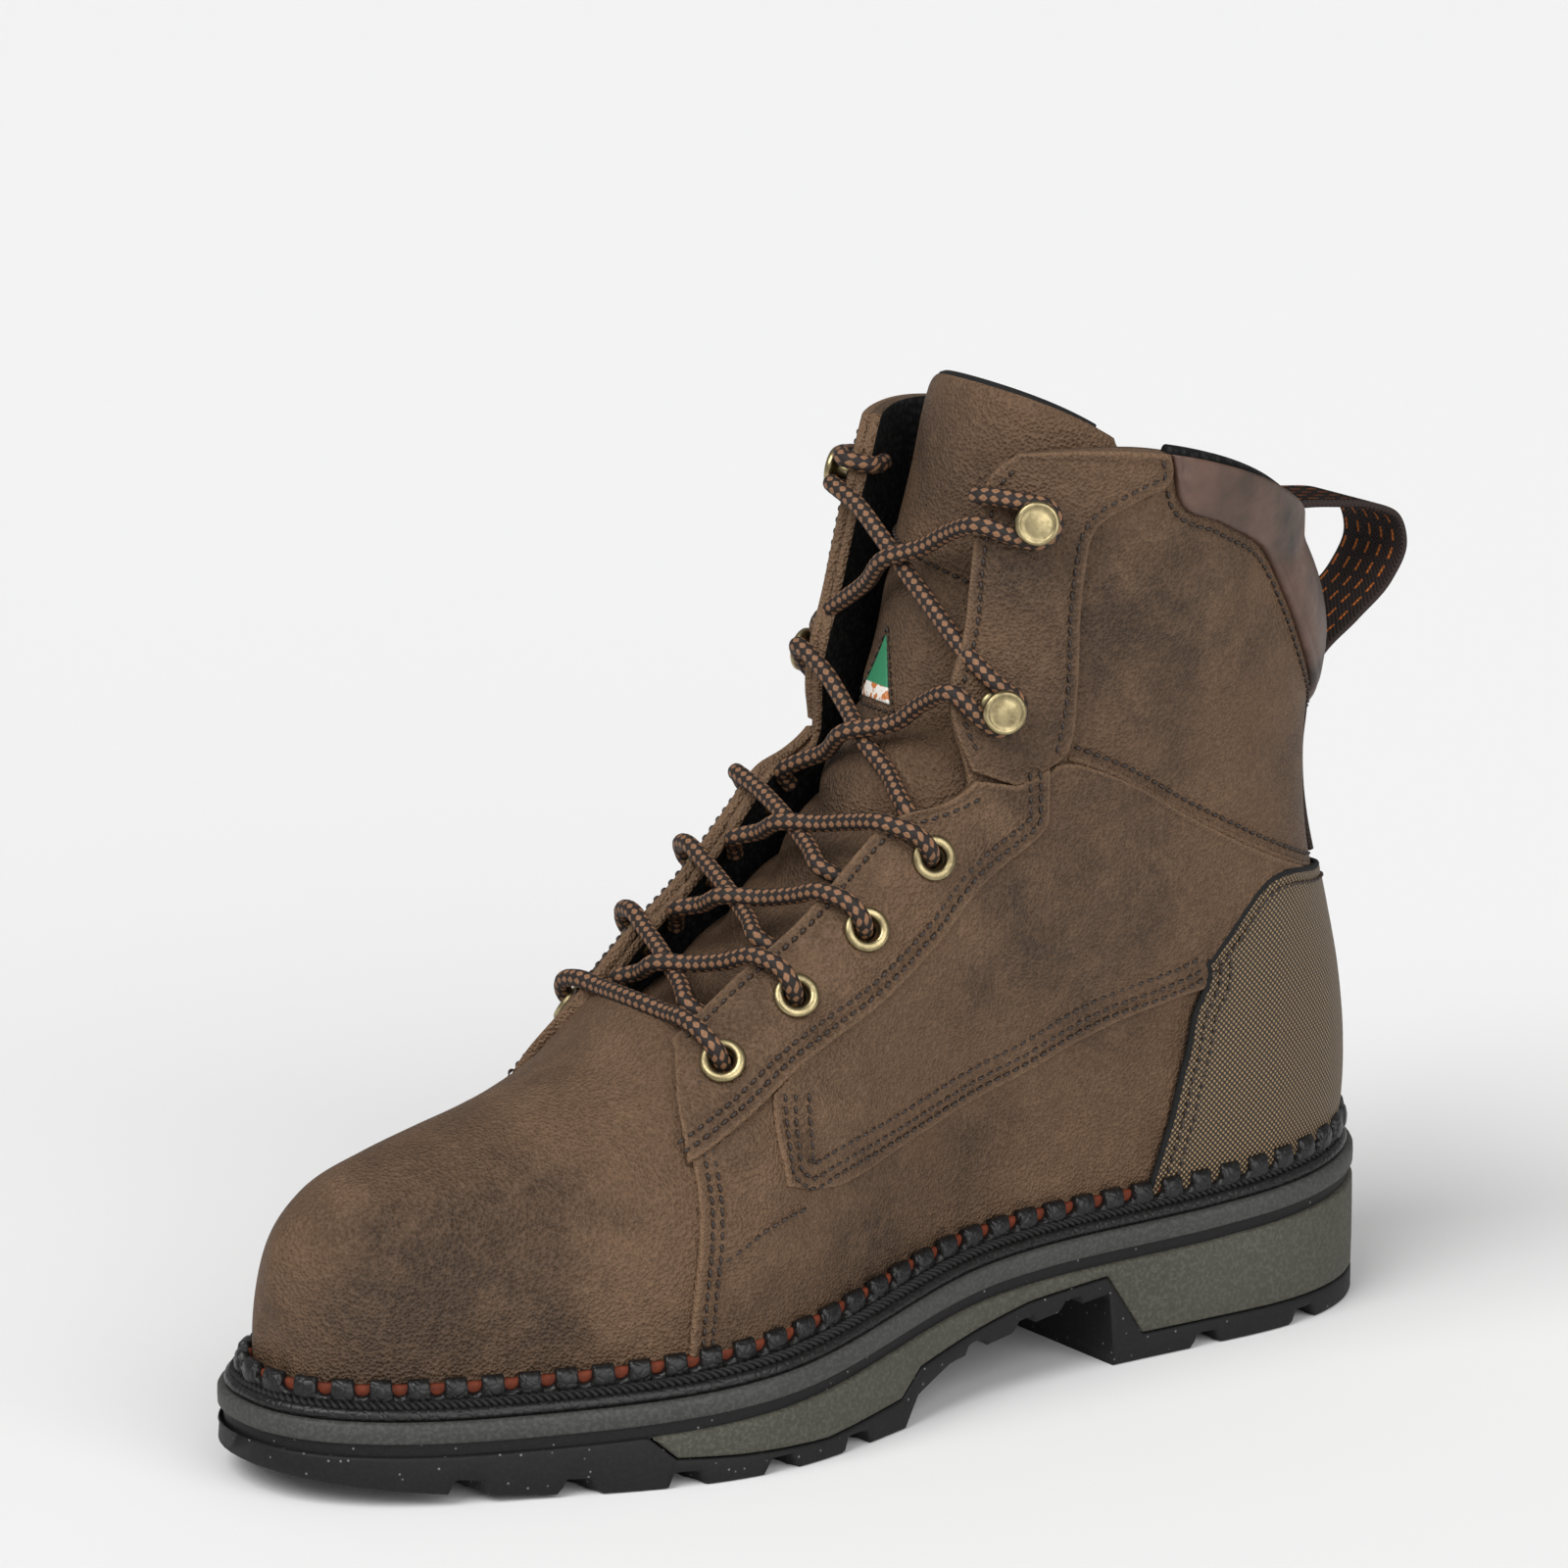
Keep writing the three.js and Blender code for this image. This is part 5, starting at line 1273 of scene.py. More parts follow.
def pierce(piece):
    """Cuts the eyelet holes through a closed piece."""
    rods = bpy.data.objects.new("eyelet_rods", eyelet_cutter())
    bpy.context.scene.collection.objects.link(rods)
    cut = piece.modifiers.new("holes", "BOOLEAN")
    cut.operation = "DIFFERENCE"
    cut.solver = "MANIFOLD"
    cut.object = rods
    bpy.context.view_layer.update()
    graph = bpy.context.evaluated_depsgraph_get()
    done = bpy.data.meshes.new_from_object(piece.evaluated_get(graph))
    piece.modifiers.remove(cut)
    bpy.data.objects.remove(rods)
    if len(done.polygons) > 100:
        piece.data = done
    return piece


class BOOT_OT_quarters(bpy.types.Operator):
    """Both quarters and the shaft, open at the throat and the collar, lined in mesh"""

    bl_idname = "boot.quarters"
    bl_label = "Quarters"

    def execute(self, context):
        s, v = quarter_grid()
        shape = Shape()
        on_back = curve(FAN_AT, s[:, -1], 3) > 1.0005
        for side in (1, -1):
            points = body(s, v, side)
            normals = body_normal(s, v, side)
            normals[on_back, -1, 1] = 0
            normals[~on_back, -1, 2] = 0
            normals = unit(normals)
            points[on_back, -1, 1] = 0
            from_front = np.linalg.norm(points - points[:1], axis=-1)
            from_edge = np.linalg.norm(points - points[:, :1], axis=-1)
            distance = np.minimum(from_front, from_edge)
            lift = quarter_lift(s, v) * (0.6 + 0.4 * round_out(from_front / 0.9, 2.2)) + relief(points)
            lift = lift - 0.28 * np.exp(-((from_front - 2.7) / 0.5) ** 2)
            pad = 3.0 * ease(0.94, 0.985, s) * ease(0.3, 0.5, v)
            on_welt = ~(on_back[:-1] & on_back[1:])
            leather_shell(shape, points, normals, lift, 2.6 + pad, side, (0, 1), (1, 1, 1, on_welt),
                          worn=1 - ease(0.2, 1.4, distance))
        piece = shape.piece("quarters", [nubuck(), mesh_lining()], "nubuck", "upper")
        pierce(piece)
        return {"FINISHED"}


def lace_line(start, end):
    """Rows along the lace edge from one share of the fan to another."""
    s = np.linspace(start, end, 12)
    return np.c_[s, lace_edge(s)]


class BOOT_OT_panels(bpy.types.Operator):
    """Sewn leather panels: eyestay, hook stay and side panel on both sides"""

    bl_idname = "boot.panels"
    bl_label = "Panels"

    def execute(self, context):
        v = np.linspace(float(lace_edge(0.461)), 0.485, 8)
        front = np.c_[vamp_seam(v), v]
        top = np.array([(0.794, float(lace_edge(0.794))), (0.815, 0.300), (0.838, 0.330)])
        side_front = ((0.500, 0.475), (0.484, 0.550), (0.473, 0.650))
        side_end = ((0.888, 0.780), (0.880, 0.800))
        sewn_panel("side_panel", [nubuck()], "nubuck", (("upper",), ("upper",)),
                   (SIDE_TOP, SIDE_BOTTOM, side_front, side_end), (1, 1, 1, 0), (62, 165), 0.75, 0.85)
        stays = sewn_panel("eyestay", [nubuck()], "nubuck", (("eyestay_outer",), ("eyestay_inner",)),
                           (front, top, lace_line(0.461, 0.794), EYESTAY_BACK), (1, 1, 1, 1), (115, 28), 1.5, 1.0, spacing=1.4)
        for stay in stays:
            pierce(stay)
        low = np.array([(0.799, float(lace_edge(0.799))), (0.815, 0.300), (0.836, 0.326)])
        high = np.array([(1.0, float(lace_edge(1.0))), (1.0, 0.33), (1.0, 0.452)])
        sewn_panel("hookstay", [nubuck()], "nubuck", (("hookstay_outer",), ("hookstay_inner",)),
                   (low, high, lace_line(0.799, 1.0), HOOKSTAY_BACK), (1, 1, 1, 1), (78, 22), 1.0, 1.2, spacing=1.4)
        return {"FINISHED"}


def heel_share():
    s = np.linspace(0.5, 1, 4001)
    return float(np.interp(1.0, curve(FAN_AT, s, 3), s))


class BOOT_OT_counter(bpy.types.Operator):
    """Woven nylon heel counter with a black binding on its upper edge"""

    bl_idname = "boot.counter"
    bl_label = "Heel counter"

    def execute(self, context):
        heel = heel_share()
        low = np.array([(0.715, 1.0), ((0.715 + heel) / 2, 1.0), (heel, 1.0)])
        back = np.array([(heel, 1.0), (0.85, 1.0), (0.898, 1.0)])
        sewn_panel("heel_counter", [nylon()], "nylon", (("heel_counter",), ("heel_counter",)),
                   (low, COUNTER_TOP, COUNTER_FRONT, back), (0, 1, 1, 0), (62, 66), 0.9, 1.1)
        shape = Shape()
        for side in (1, -1):
            for rows in (COUNTER_FRONT, COUNTER_TOP):
                path, normals = on_body(rows, side, 1.3)
                tube(shape, path, normals, 0.8, 8)
        tape = plain_fibre("black_binding", srgb(26, 25, 25))
        shape.piece("counter_binding", [tape], "nylon", "heel_counter", outward=True)
        return {"FINISHED"}


class BOOT_OT_collar(bpy.types.Operator):
    """Padded collar of smooth leather with a mesh roll round the top"""

    bl_idname = "boot.collar"
    bl_label = "Collar"

    def execute(self, context):
        rim = np.array([(1.0, 0.456), (1.0, 0.7), (1.0, 1.0)])
        front = np.array([(0.990, 0.456), (0.995, 0.456), (1.0, 0.456)])
        back = np.array([(0.944, 1.0), (0.97, 1.0), (1.0, 1.0)])
        pads = sewn_panel("collar_pad", [smooth_leather()], "smooth_leather", (("collar_panel",), ("collar_panel",)),
                          (COLLAR_LOW, rim, front, back), (1, 0, 1, 0), (30, 105), 0.4, 0.9, puff=2.0)
        shape = Shape()
        v = np.linspace(0.452, 1.0, 90)
        rims = []
        for side in (1, -1):
            points = body(np.ones_like(v), v, side)
            normals = body_normal(np.ones_like(v), v, side)
            rims.append((points - normals * 1.2 + np.array([0, 0, 0.2]), normals))
        path = np.concatenate([rims[0][0], rims[1][0][::-1][1:]])
        normals = np.concatenate([rims[0][1], rims[1][1][::-1][1:]])
        tube(shape, path, normals, 1.8, 14)
        shape.piece("collar_roll", [mesh_lining()], "lining", "collar_panel", outward=True)
        return {"FINISHED"}


class BOOT_OT_seams(bpy.types.Operator):
    """All stitching of the upper, thread by thread"""

    bl_idname = "boot.seams"
    bl_label = "Seams"

    def execute(self, context):
        shape = Shape()
        pitch = sizes().stitch_pitch
        length = sizes().stitch_length
        radius = sizes().stitch_radius

        def row(rows, side, lift, *offsets):
            points, normals = on_body(rows, side, lift)
            for offset in offsets:
                stitches(shape, beside(points, normals, offset * side), normals, pitch, length, radius)

        v = np.linspace(float(lace_edge(0.461)) + 0.02, 0.97, 14)
        seam = np.c_[vamp_seam(v), v]
        for side in (1, -1):
            row(seam, side, 1.55, 2.9, 5.2)
            row(lace_line(0.468, 0.790), side, 2.5, -2.8)
            row(lace_line(0.806, 0.996), side, 2.2, -2.8)
            row(EYESTAY_BACK, side, 2.5, 2.7, 5.3)
            row(HOOKSTAY_BACK[1:], side, 2.2, 2.7)
            row(SIDE_STITCH, side, 1.65, 2.2, 4.6, 8.0)
            row(LOW_STITCH, side, 1.2, 0.0)
            row(DIAGONAL_SEAM, side, 0.55, -2.4, 3.4)
            row(COLLAR_LOW, side, 0.35, -2.4)
            row(COUNTER_FRONT, side, 2.0, -3.0, -6.0)
            row(COUNTER_TOP, side, 2.0, -3.0)
        shape.piece("upper_stitching", [thread()], "nubuck", "upper")
        ridge = Shape()
        for side in (1, -1):
            points, normals = on_body(DIAGONAL_SEAM, side, -0.4)
            line = beside(points, normals, 0.5 * side)
            tube(ridge, line, normals, 1.1, 10, worn=lambda run, angle: np.full((run.size, angle.size), 0.35))
        ridge.piece("shaft_piping", [nubuck()], "nubuck", "upper", outward=True)
        return {"FINISHED"}


# Lacing


def hardware_seat(s, side):
    """Centre on the leather, outward axis, direction toward the lace edge and direction up the row."""
    v = float(in_from_edge(s, EYELET_INSET, side))
    centre = body(s, v, side)
    axis = body_normal(s, v, side)
    to_edge = body(s, float(lace_edge(s)), side) - centre
    to_edge = unit(to_edge - axis * np.dot(to_edge, axis))
    upward = unit(np.cross(axis, to_edge))
    if upward[2] < 0:
        upward = -upward
    return centre, axis, to_edge, upward


class BOOT_OT_eyelets(bpy.types.Operator):
    """Rolled brass eyelets with a barrel through the leather, all in brass; a dark barrel material is attached but no
    face uses it
    """

    bl_idname = "boot.eyelets"
    bl_label = "Eyelets"

    def execute(self, context):
        barrel = plain_fibre("eyelet_barrel", srgb(20, 18, 15), 0.5)
        for side, word in ((1, "outer"), (-1, "inner")):
            for number, s in enumerate(EYELETS, 1):
                centre, axis, _, _ = hardware_seat(s, side)
                base = centre + axis * (2.45 + relief(centre))
                turn = np.linspace(0, np.pi, 12)
                middle, half = 4.15, 1.25
                profile = [(middle + half * np.cos(t), 0.15 + 1.15 * np.sin(t) ** 0.8) for t in turn]
                profile += [(2.75, -1.0), (2.75, -6.0), (2.45, -6.0), (2.45, -0.6)]
                profile += [(middle, -0.1), (middle + half, -0.1), profile[0]]
                shape = Shape()
                lathe(shape, base, axis, profile, 48)
                shape.piece(f"eyelet_ring_{word}_{number}", [antique_brass(), barrel], "antique_brass",
                            f"eyelet_{word}_{number}", outward=True)
        return {"FINISHED"}


class BOOT_OT_hooks(bpy.types.Operator):
    """Brass lacing hooks: a base, a post and a domed head with a raised rim"""

    bl_idname = "boot.hooks"
    bl_label = "Hooks"

    def execute(self, context):
        for side, word in ((1, "outer"), (-1, "inner")):
            for number, s in enumerate(HOOKS, 1):
                centre, axis, _, _ = hardware_seat(s, side)
                base = centre + axis * (2.1 + relief(centre))
                profile = [
                    (0, -0.4), (4.6, -0.4), (4.7, 0.3), (4.2, 0.8), (2.7, 1.1), (2.2, 1.6), (2.1, 4.6), (2.5, 5.1),
                    (4.6, 5.3), (5.15, 5.6), (5.3, 6.1), (5.2, 6.8), (4.8, 7.25), (4.3, 7.3), (3.95, 7.05),
                    (3.7, 6.95), (2.8, 7.1), (1.4, 7.2), (0, 7.25),
                ]
                shape = Shape()
                lathe(shape, base, axis, profile, 48)
                shape.piece(f"lace_hook_{word}_{number}", [antique_brass()], "antique_brass",
                            f"hook_{word}_{number}", outward=True)
        return {"FINISHED"}


def tongue_line(u, column):
    rows = np.c_[np.linspace(0, 1, len(TONGUE)), TONGUE]
    return curve(rows, u, column)


def tongue_surface(u, a):
    """Front of the tongue: a crest line with sides that fall back as an arc of the angle share a."""
    half = THROAT_WIDTH * tongue_line(u, 3)
    angle = TONGUE_SWEEP * a
    y = half * np.sin(angle) / math.sin(TONGUE_SWEEP)
    fall = tongue_line(u, 4) * (1 - 0.25 * ease(0.7, 1, u))
    back = half * fall * (1 - np.cos(angle)) / (1 - math.cos(TONGUE_SWEEP))
    d = 0.01
    dx = LENGTH * (tongue_line(np.clip(u + d, 0, 1), 1) - tongue_line(np.clip(u - d, 0, 1), 1))
    dz = TONGUE_TOP * (tongue_line(np.clip(u + d, 0, 1), 2) - tongue_line(np.clip(u - d, 0, 1), 2))
    long = np.hypot(dx, dz)
    drop = 3 * a ** 4 * ease(0.75, 1, u)
    x = LENGTH * tongue_line(u, 1) - back * dz / long
    z = TONGUE_TOP * tongue_line(u, 2) + back * dx / long - drop
    return np.stack([x, centre_line(x) + y, z], -1)


# Heights on the tongue where a lace crossing presses it, and how deep
PUCKERS = ((96, 1.4), (108, 2.0), (121, 2.2), (135, 2.2), (157, 1.8), (191, 1.2))


def tongue_relief(points, a):
    """Padding pressed in under each crossing and swollen between them."""
    z = points[..., 2]
    total = 0.315 * np.sin(z / 7 + 2.2 * a) * ease(0.9, 0.3, np.abs(a))
    for height, depth in PUCKERS:
        total = total - depth * np.exp(-((z - height - 5 * a * a) / 3.6) ** 2)
    return total * ease(232, 215, z)


class BOOT_OT_tongue(bpy.types.Operator):
    """Padded leather tongue with a lined edge, a cross seam and the sewn tag window"""

    bl_idname = "boot.tongue"
    bl_label = "Tongue"

    def execute(self, context):
        u = np.linspace(0, 1, 150)
        a = np.linspace(-1, 1, 74)
        uu, aa = np.meshgrid(u, a, indexing="ij")
        points = tongue_surface(uu, aa)
        normals = unit(np.cross(np.gradient(points, axis=0), np.gradient(points, axis=1)))
        normals = normals * np.sign(normals[len(u) // 2, len(a) // 2, 0])
        edge = np.minimum(1 - np.abs(aa), (1 - uu) * 3.0)
        lift = tongue_relief(points, aa) + 1.6 * (round_out(edge / 0.16, 2) - 1)
        shape = Shape()
        worn = 0.6 * (1 - ease(0.0, 0.05, edge))
        leather_shell(shape, points, normals, lift, 4.4, 1, (0, 1), (1, 1, 1, 1), worn=worn)
        shape.piece("tongue_pad", [nubuck(), mesh_lining()], "nubuck", "tongue", outward=True)
        self.seam_and_tag()
        return {"FINISHED"}

    def seam_and_tag(self):
        def front(u, a, lift):
            u, a = np.broadcast_arrays(u, a)
            point = tongue_surface(u, a)
            d = 0.01
            along = tongue_surface(u + d, a) - tongue_surface(u - d, a)
            across = tongue_surface(u, a + d) - tongue_surface(u, a - d)
            normal = unit(np.cross(along, across))
            normal = normal * np.where(normal[..., :1] < 0, -1, 1)
            return point + normal * (lift + tongue_relief(point, a))[..., None], normal

        shape = Shape()
        a = np.linspace(-0.96, 0.96, 60)
        path, normals = front(0.735 - 0.035 * a, a, 0.25)
        stitches(shape, path, normals, sizes().stitch_pitch, sizes().stitch_length, sizes().stitch_radius)
        tip, left, right = (0.672, -0.14), (0.600, -0.36), (0.598, 0.10)
        corners = np.array([tip, left, right, tip])
        for start, end in zip(corners[:-1], corners[1:]):
            share = np.linspace(0, 1, 24)[:, None]
            line = start + (end - start) * share
            path, normals = front(line[:, 0], line[:, 1], 0.30)
            stitches(shape, path, normals, 2.2, 1.8, 0.3)
        shape.piece("tongue_stitching", [thread()], "nubuck", "tongue")
        binding = Shape()
        a = np.linspace(-0.88, 0.88, 80)
        path, normals = front(0.985, a, -2.8)
        tube(binding, path + np.array([0, 0, 0.4]), normals, 1.7, 10)
        tape = plain_fibre("black_binding", srgb(26, 25, 25))
        binding.piece("tongue_binding", [tape], "lining", "tongue", outward=True)
        tag = Shape()
        rows = np.linspace(0, 1, 26)[:, None]
        columns = np.linspace(0, 1, 16)[None]
        centre = np.array([0.634, -0.135])
        shrink = 0.78
        base = (np.array(left) + (np.array(right) - np.array(left)) * columns[..., None])
        place = np.array(tip) + (base - np.array(tip)) * rows[..., None]
        place = centre + (place - centre) * shrink
        points, normals = front(place[..., 0], place[..., 1], 0.42)
        level = np.zeros(points.shape[:2])
        leather_shell(tag, points, normals, level, 0.5, 1, (0, 0), worn=level + rows)
        tag.piece("tongue_tag", [tag_cloth()], "webbing", "tongue", outward=True)


def tag_cloth(name="woven_tag"):
    def make(name):
        c = colours()
        f = Finish(name, 0.6)
        band = f.between(f.value("worn"), 0.74, 0.76)
        weave = f.noise(1800, 1)
        pale = f.mix(f.between(f.noise(500, 2), 0.5, 0.56), tuple(c.tag_band), srgb(190, 110, 50))
        f.set("Base Color", f.mix(band, tuple(c.tag), pale))
        f.set("Normal", f.bump(weave, 0.5, 0.2))
        return f.material
    return once(name, make)


def over_leather(s, inward, height, side):
    """Point over the lace panels, a distance in from the lace edge and a height above the leather."""
    v = in_from_edge(s, inward, side)
    return body(s, v, side) + body_normal(s, v, side) * (2.4 + height)


OFF_TONGUE = np.array([1.0, 0.0, 0.6]) / math.hypot(1.0, 0.6)


def over_tongue(s, across, lift, cloud, radius):
    """Point between the lace edges, lifted until a lace there lies on the tongue."""
    outer = body(s, lace_edge(s), 1)
    inner = body(s, lace_edge(s), -1)
    point = inner + (outer - inner) * (across + 1) / 2
    gap = cloud - point
    ahead = gap @ OFF_TONGUE
    beside_it = np.linalg.norm(gap - ahead[:, None] * OFF_TONGUE, axis=1)
    near = ahead[beside_it < 1.4 * radius]
    rise = max(float(near.max()) if len(near) else 0.0, -1.0)
    return point + OFF_TONGUE * (rise + radius + lift)


class BOOT_OT_laces(bpy.types.Operator):
    """One braided lace: the bar, the crossings through the eyelets and the runs round the hooks"""

    bl_idname = "boot.laces"
    bl_label = "Laces"

    def execute(self, context):
        radius = sizes().lace_diameter / 2
        u, a = np.meshgrid(np.linspace(0, 1, 160), np.linspace(-1, 1, 60), indexing="ij")
        cloud = tongue_surface(u, a)
        cloud = cloud.reshape(-1, 3)

        def into_eyelet(s, side):
            centre, axis, to_edge, _ = hardware_seat(s, side)
            return [
                centre + axis * (2.4 + radius + 1.9) + to_edge * 6.2,
                centre + axis * (2.4 + radius + 0.9) + to_edge * 2.6,
                centre + axis * (2.4 - 0.4) + to_edge * 0.5,
                centre - axis * 4.0,
            ]

        def from_under(s, side):
            v = in_from_edge(s, 6.0, side)
            under = body(s, v, side) - body_normal(s, v, side) * (2.6 + radius + 0.4)
            edge = body(s, lace_edge(s), side) - body_normal(s, lace_edge(s), side) * (1.5 + radius)
            return [under, edge]

        def across_throat(start, end, side, over):
            def at(share):
                return start + (end - start) * share

            return [
                over_tongue(at(0.22), 0.72 * side, 0.0, cloud, radius),
                over_tongue(at(0.38), 0.40 * side, 0.2 + 0.3 * over, cloud, radius),
                over_tongue(at(0.52), 0.05 * side, 0.2 + 1.9 * radius * over, cloud, radius),
                over_tongue(at(0.68), -0.35 * side, 0.6 + 0.6 * over, cloud, radius),
                over_tongue(at(0.82), -0.72 * side, 1.4, cloud, radius),
                over_leather(at(0.93), 0.6, radius + 0.4, -side),
            ]

        def round_hook(s, side):
            centre, axis, to_edge, upward = hardware_seat(s, side)
            reach = 2.3 + radius
            places = []
            for degrees in (-75, -110, -150, 180, 150, 110, 75):
                turn = math.radians(degrees)
                level = 2.1 + radius + 1.0
                places.append(centre + axis * level + reach * (to_edge * math.cos(turn) + upward * math.sin(turn)))
            return places

        def braid_height(run, angle):
            first = np.sin(np.pi * run / 2.5 + 3 * angle)
            second = np.sin(np.pi * run / 2.5 - 3 * angle)
            return 0.96 + 0.06 * np.abs(first * second) ** 0.5

        def braid_flat(run, angle):
            return np.stack(np.broadcast_arrays(run * MM, angle * MM / (2 * np.pi)), -1)

        def strand(name, points, nodes):
            path = path_through(points, step=0.5)
            reference = np.broadcast_to(unit(np.array([0.9, 0.0, 0.45])), path.shape)
            shape = Shape()
            tube(shape, path, reference, radius, 24, braid_height, flat=braid_flat)
            shape.piece(name, [braid()], "lace", *nodes, outward=True)

        first = EYELETS[0]

        def half_bar(side):
            return into_eyelet(first, side)[::-1] + [
                over_leather(first, 0.6, radius + 0.6, side),
                over_tongue(first + 0.004, 0.66 * side, 2.6, cloud, radius),
                over_tongue(first + 0.004, 0.3 * side, 3.6, cloud, radius),
            ]

        bar = half_bar(-1) + half_bar(1)[::-1]
        strand("lace_bar_braid", bar, ["lace_bar"])
        for number in (1, 2, 3):
            start, end = EYELETS[number - 1], EYELETS[number]
            for side, over, word in ((1, 0, "low"), (-1, 1, "high")):
                points = from_under(start + 0.018, side) + across_throat(start, end, side, over) + into_eyelet(end, -side)
                strand(f"lace_run_{number}_{word}", points, [f"lace_crossing_{number}"])
        for side, over, word in ((1, 0, "low"), (-1, 1, "high")):
            points = from_under(EYELETS[3] + 0.018, side) + across_throat(EYELETS[3], HOOKS[0], side, over)
            points = points + round_hook(HOOKS[0], -side)
            points = points + across_throat(HOOKS[0] + 0.012, HOOKS[1], -side, 1 - over)[1:]
            points = points + round_hook(HOOKS[1], side)
            s = HOOKS[1] + 0.012
            points = points + [
                over_leather(s, 2.5, radius + 0.2, side),
                over_leather(s, 0.0, 0.6, side) + hardware_seat(s, side)[2] * 1.2,
                from_under(s, side)[1] + hardware_seat(s, side)[2] * 0.6,
                from_under(s, side)[0],
            ]
            strand(f"lace_run_4_{word}", points, ["lace_crossing_4", "lace_crossing_5"])
        return {"FINISHED"}


class BOOT_OT_pull_loop(bpy.types.Operator):
    """Webbing loop at the back of the collar, with its tape down the back seam"""

    bl_idname = "boot.pull_loop"
    bl_label = "Pull loop"

    def execute(self, context):
        z = np.linspace(0.575, 0.77, 5) * COLLAR_BACK
        x = back_seam(z) - 2.0 - 1.6 * ease(0.70, 0.76, z / COLLAR_BACK)
        line = np.concatenate([np.stack([x, z], -1), LOOP * np.array([LENGTH, COLLAR_BACK])])
        path = path_through(line, step=0.6)
        along = unit(np.gradient(path, axis=0))
        out = np.stack([-along[:, 1], along[:, 0]], -1)
        half, thick = 11.0, 0.85
        edge = np.linspace(0, np.pi, 5)
        right = np.stack([half + 0.6 * np.sin(edge), thick * np.cos(edge)], -1)
        share = np.linspace(1, -1, 24)[1:-1]
        top = np.stack([-share[::-1] * half, np.full(22, thick)], -1)
        bottom = np.stack([share * half, np.full(22, -thick)], -1)
        left = -right
        section = np.concatenate([top, right, bottom, left])
        run = np.r_[0, np.cumsum(np.linalg.norm(np.diff(path, axis=0), axis=1))]
        flat_x = path[:, None, 0] + out[:, None, 0] * section[:, 1]
        flat_z = path[:, None, 1] + out[:, None, 1] * section[:, 1]
        y = np.broadcast_to(section[None, :, 0], flat_x.shape)
        points = np.stack([flat_x, y, flat_z], -1)
        first = np.broadcast_to(points[0].mean(0), points[:1].shape)
        last = np.broadcast_to(points[-1].mean(0), points[-1:].shape)
        closed = np.concatenate([first, points, last])
        lengthways = np.r_[run[0], run, run[-1]][:, None]
        spread = np.stack(np.broadcast_arrays(lengthways, section[None, :, 0] + half), -1) * MM
        shape = Shape()
        shape.add(closed, quads(*closed.shape[:2], closed_columns=True), flat=spread)
        shape.piece("pull_loop_webbing", [webbing()], "webbing", "pull_loop", outward=True)
        return {"FINISHED"}


# Stage


class BOOT_OT_stage(bpy.types.Operator):
    """Pale floor, soft lights and the camera at the photograph's angle"""

    bl_idname = "boot.stage"
    bl_label = "Stage"

    def execute(self, context):
        scene = context.scene
        mesh = bpy.data.meshes.new("floor")
        reach = 12.0
        corners = [(-reach, -reach, 0), (reach, -reach, 0), (reach, reach, 0), (-reach, reach, 0)]
        mesh.from_pydata(corners, [], [(0, 1, 2, 3)])
        f = Finish("pale_floor", 0.9, specular=0.1)
        f.set("Base Color", tuple(colours().floor))
        mesh.materials.append(f.material)
        floor = bpy.data.objects.new("floor", mesh)
        scene.collection.objects.link(floor)
        world = bpy.data.worlds.new("studio")
        world.use_nodes = True
        world.node_tree.nodes["Background"].inputs["Color"].default_value = (1, 1, 1, 1)
        world.node_tree.nodes["Background"].inputs["Strength"].default_value = 0.29
        scene.world = world
        self.light(scene, "key", (1.5, 0.3, 1.8), 42, 2.25)
        self.light(scene, "fill", (0.2, 2.4, 1.1), 60, 1.9)
        scene.view_settings.view_transform = "Standard"
        camera = bpy.data.cameras.new("camera")
        camera.lens = CAMERA_LENS
        camera.sensor_width = 36
        camera.clip_end = 60
        made = bpy.data.objects.new("camera", camera)
        made.location = to_frame(CAMERA_PLACE)
        ahead = Vector(to_frame(CAMERA_TARGET)) - Vector(made.location)
        made.rotation_euler = ahead.to_track_quat("-Z", "Y").to_euler()
        scene.collection.objects.link(made)
        scene.camera = made
        return {"FINISHED"}

    def light(self, scene, name, place, spread, power):
        lamp = bpy.data.lights.new(name, "SUN")
        lamp.angle = math.radians(spread)
        lamp.energy = power
        made = bpy.data.objects.new(name, lamp)
        made.location = place
        made.rotation_euler = (-Vector(place)).to_track_quat("-Z", "Y").to_euler()
        scene.collection.objects.link(made)


# Settings, panel and registration


def length_setting(name, description, default):
    return bpy.props.FloatProperty(name=name, description=f"{description}, in millimetres", default=default, min=0.05)


def colour_setting(name, description, default):
    return bpy.props.FloatVectorProperty(name=name, description=description, default=default, subtype="COLOR", size=3, min=0, max=1)


class BootSizes(bpy.types.PropertyGroup):
    """Sizes of the boot's small parts"""

    stitch_pitch: length_setting("Stitch pitch", "Distance from one stitch to the next", 2.75)
    stitch_length: length_setting("Stitch length", "Length of one stitch", 2.3)
    stitch_radius: length_setting("Stitch radius", "Half the thread's thickness", 0.42)
    notch_pitch: length_setting("Notch pitch", "Distance between notches of the rand", 8.6)
    notch_width: length_setting("Notch width", "Width of one notch of the rand", 3.5)
    lace_diameter: length_setting("Lace diameter", "Thickness of the round lace", 4.2)


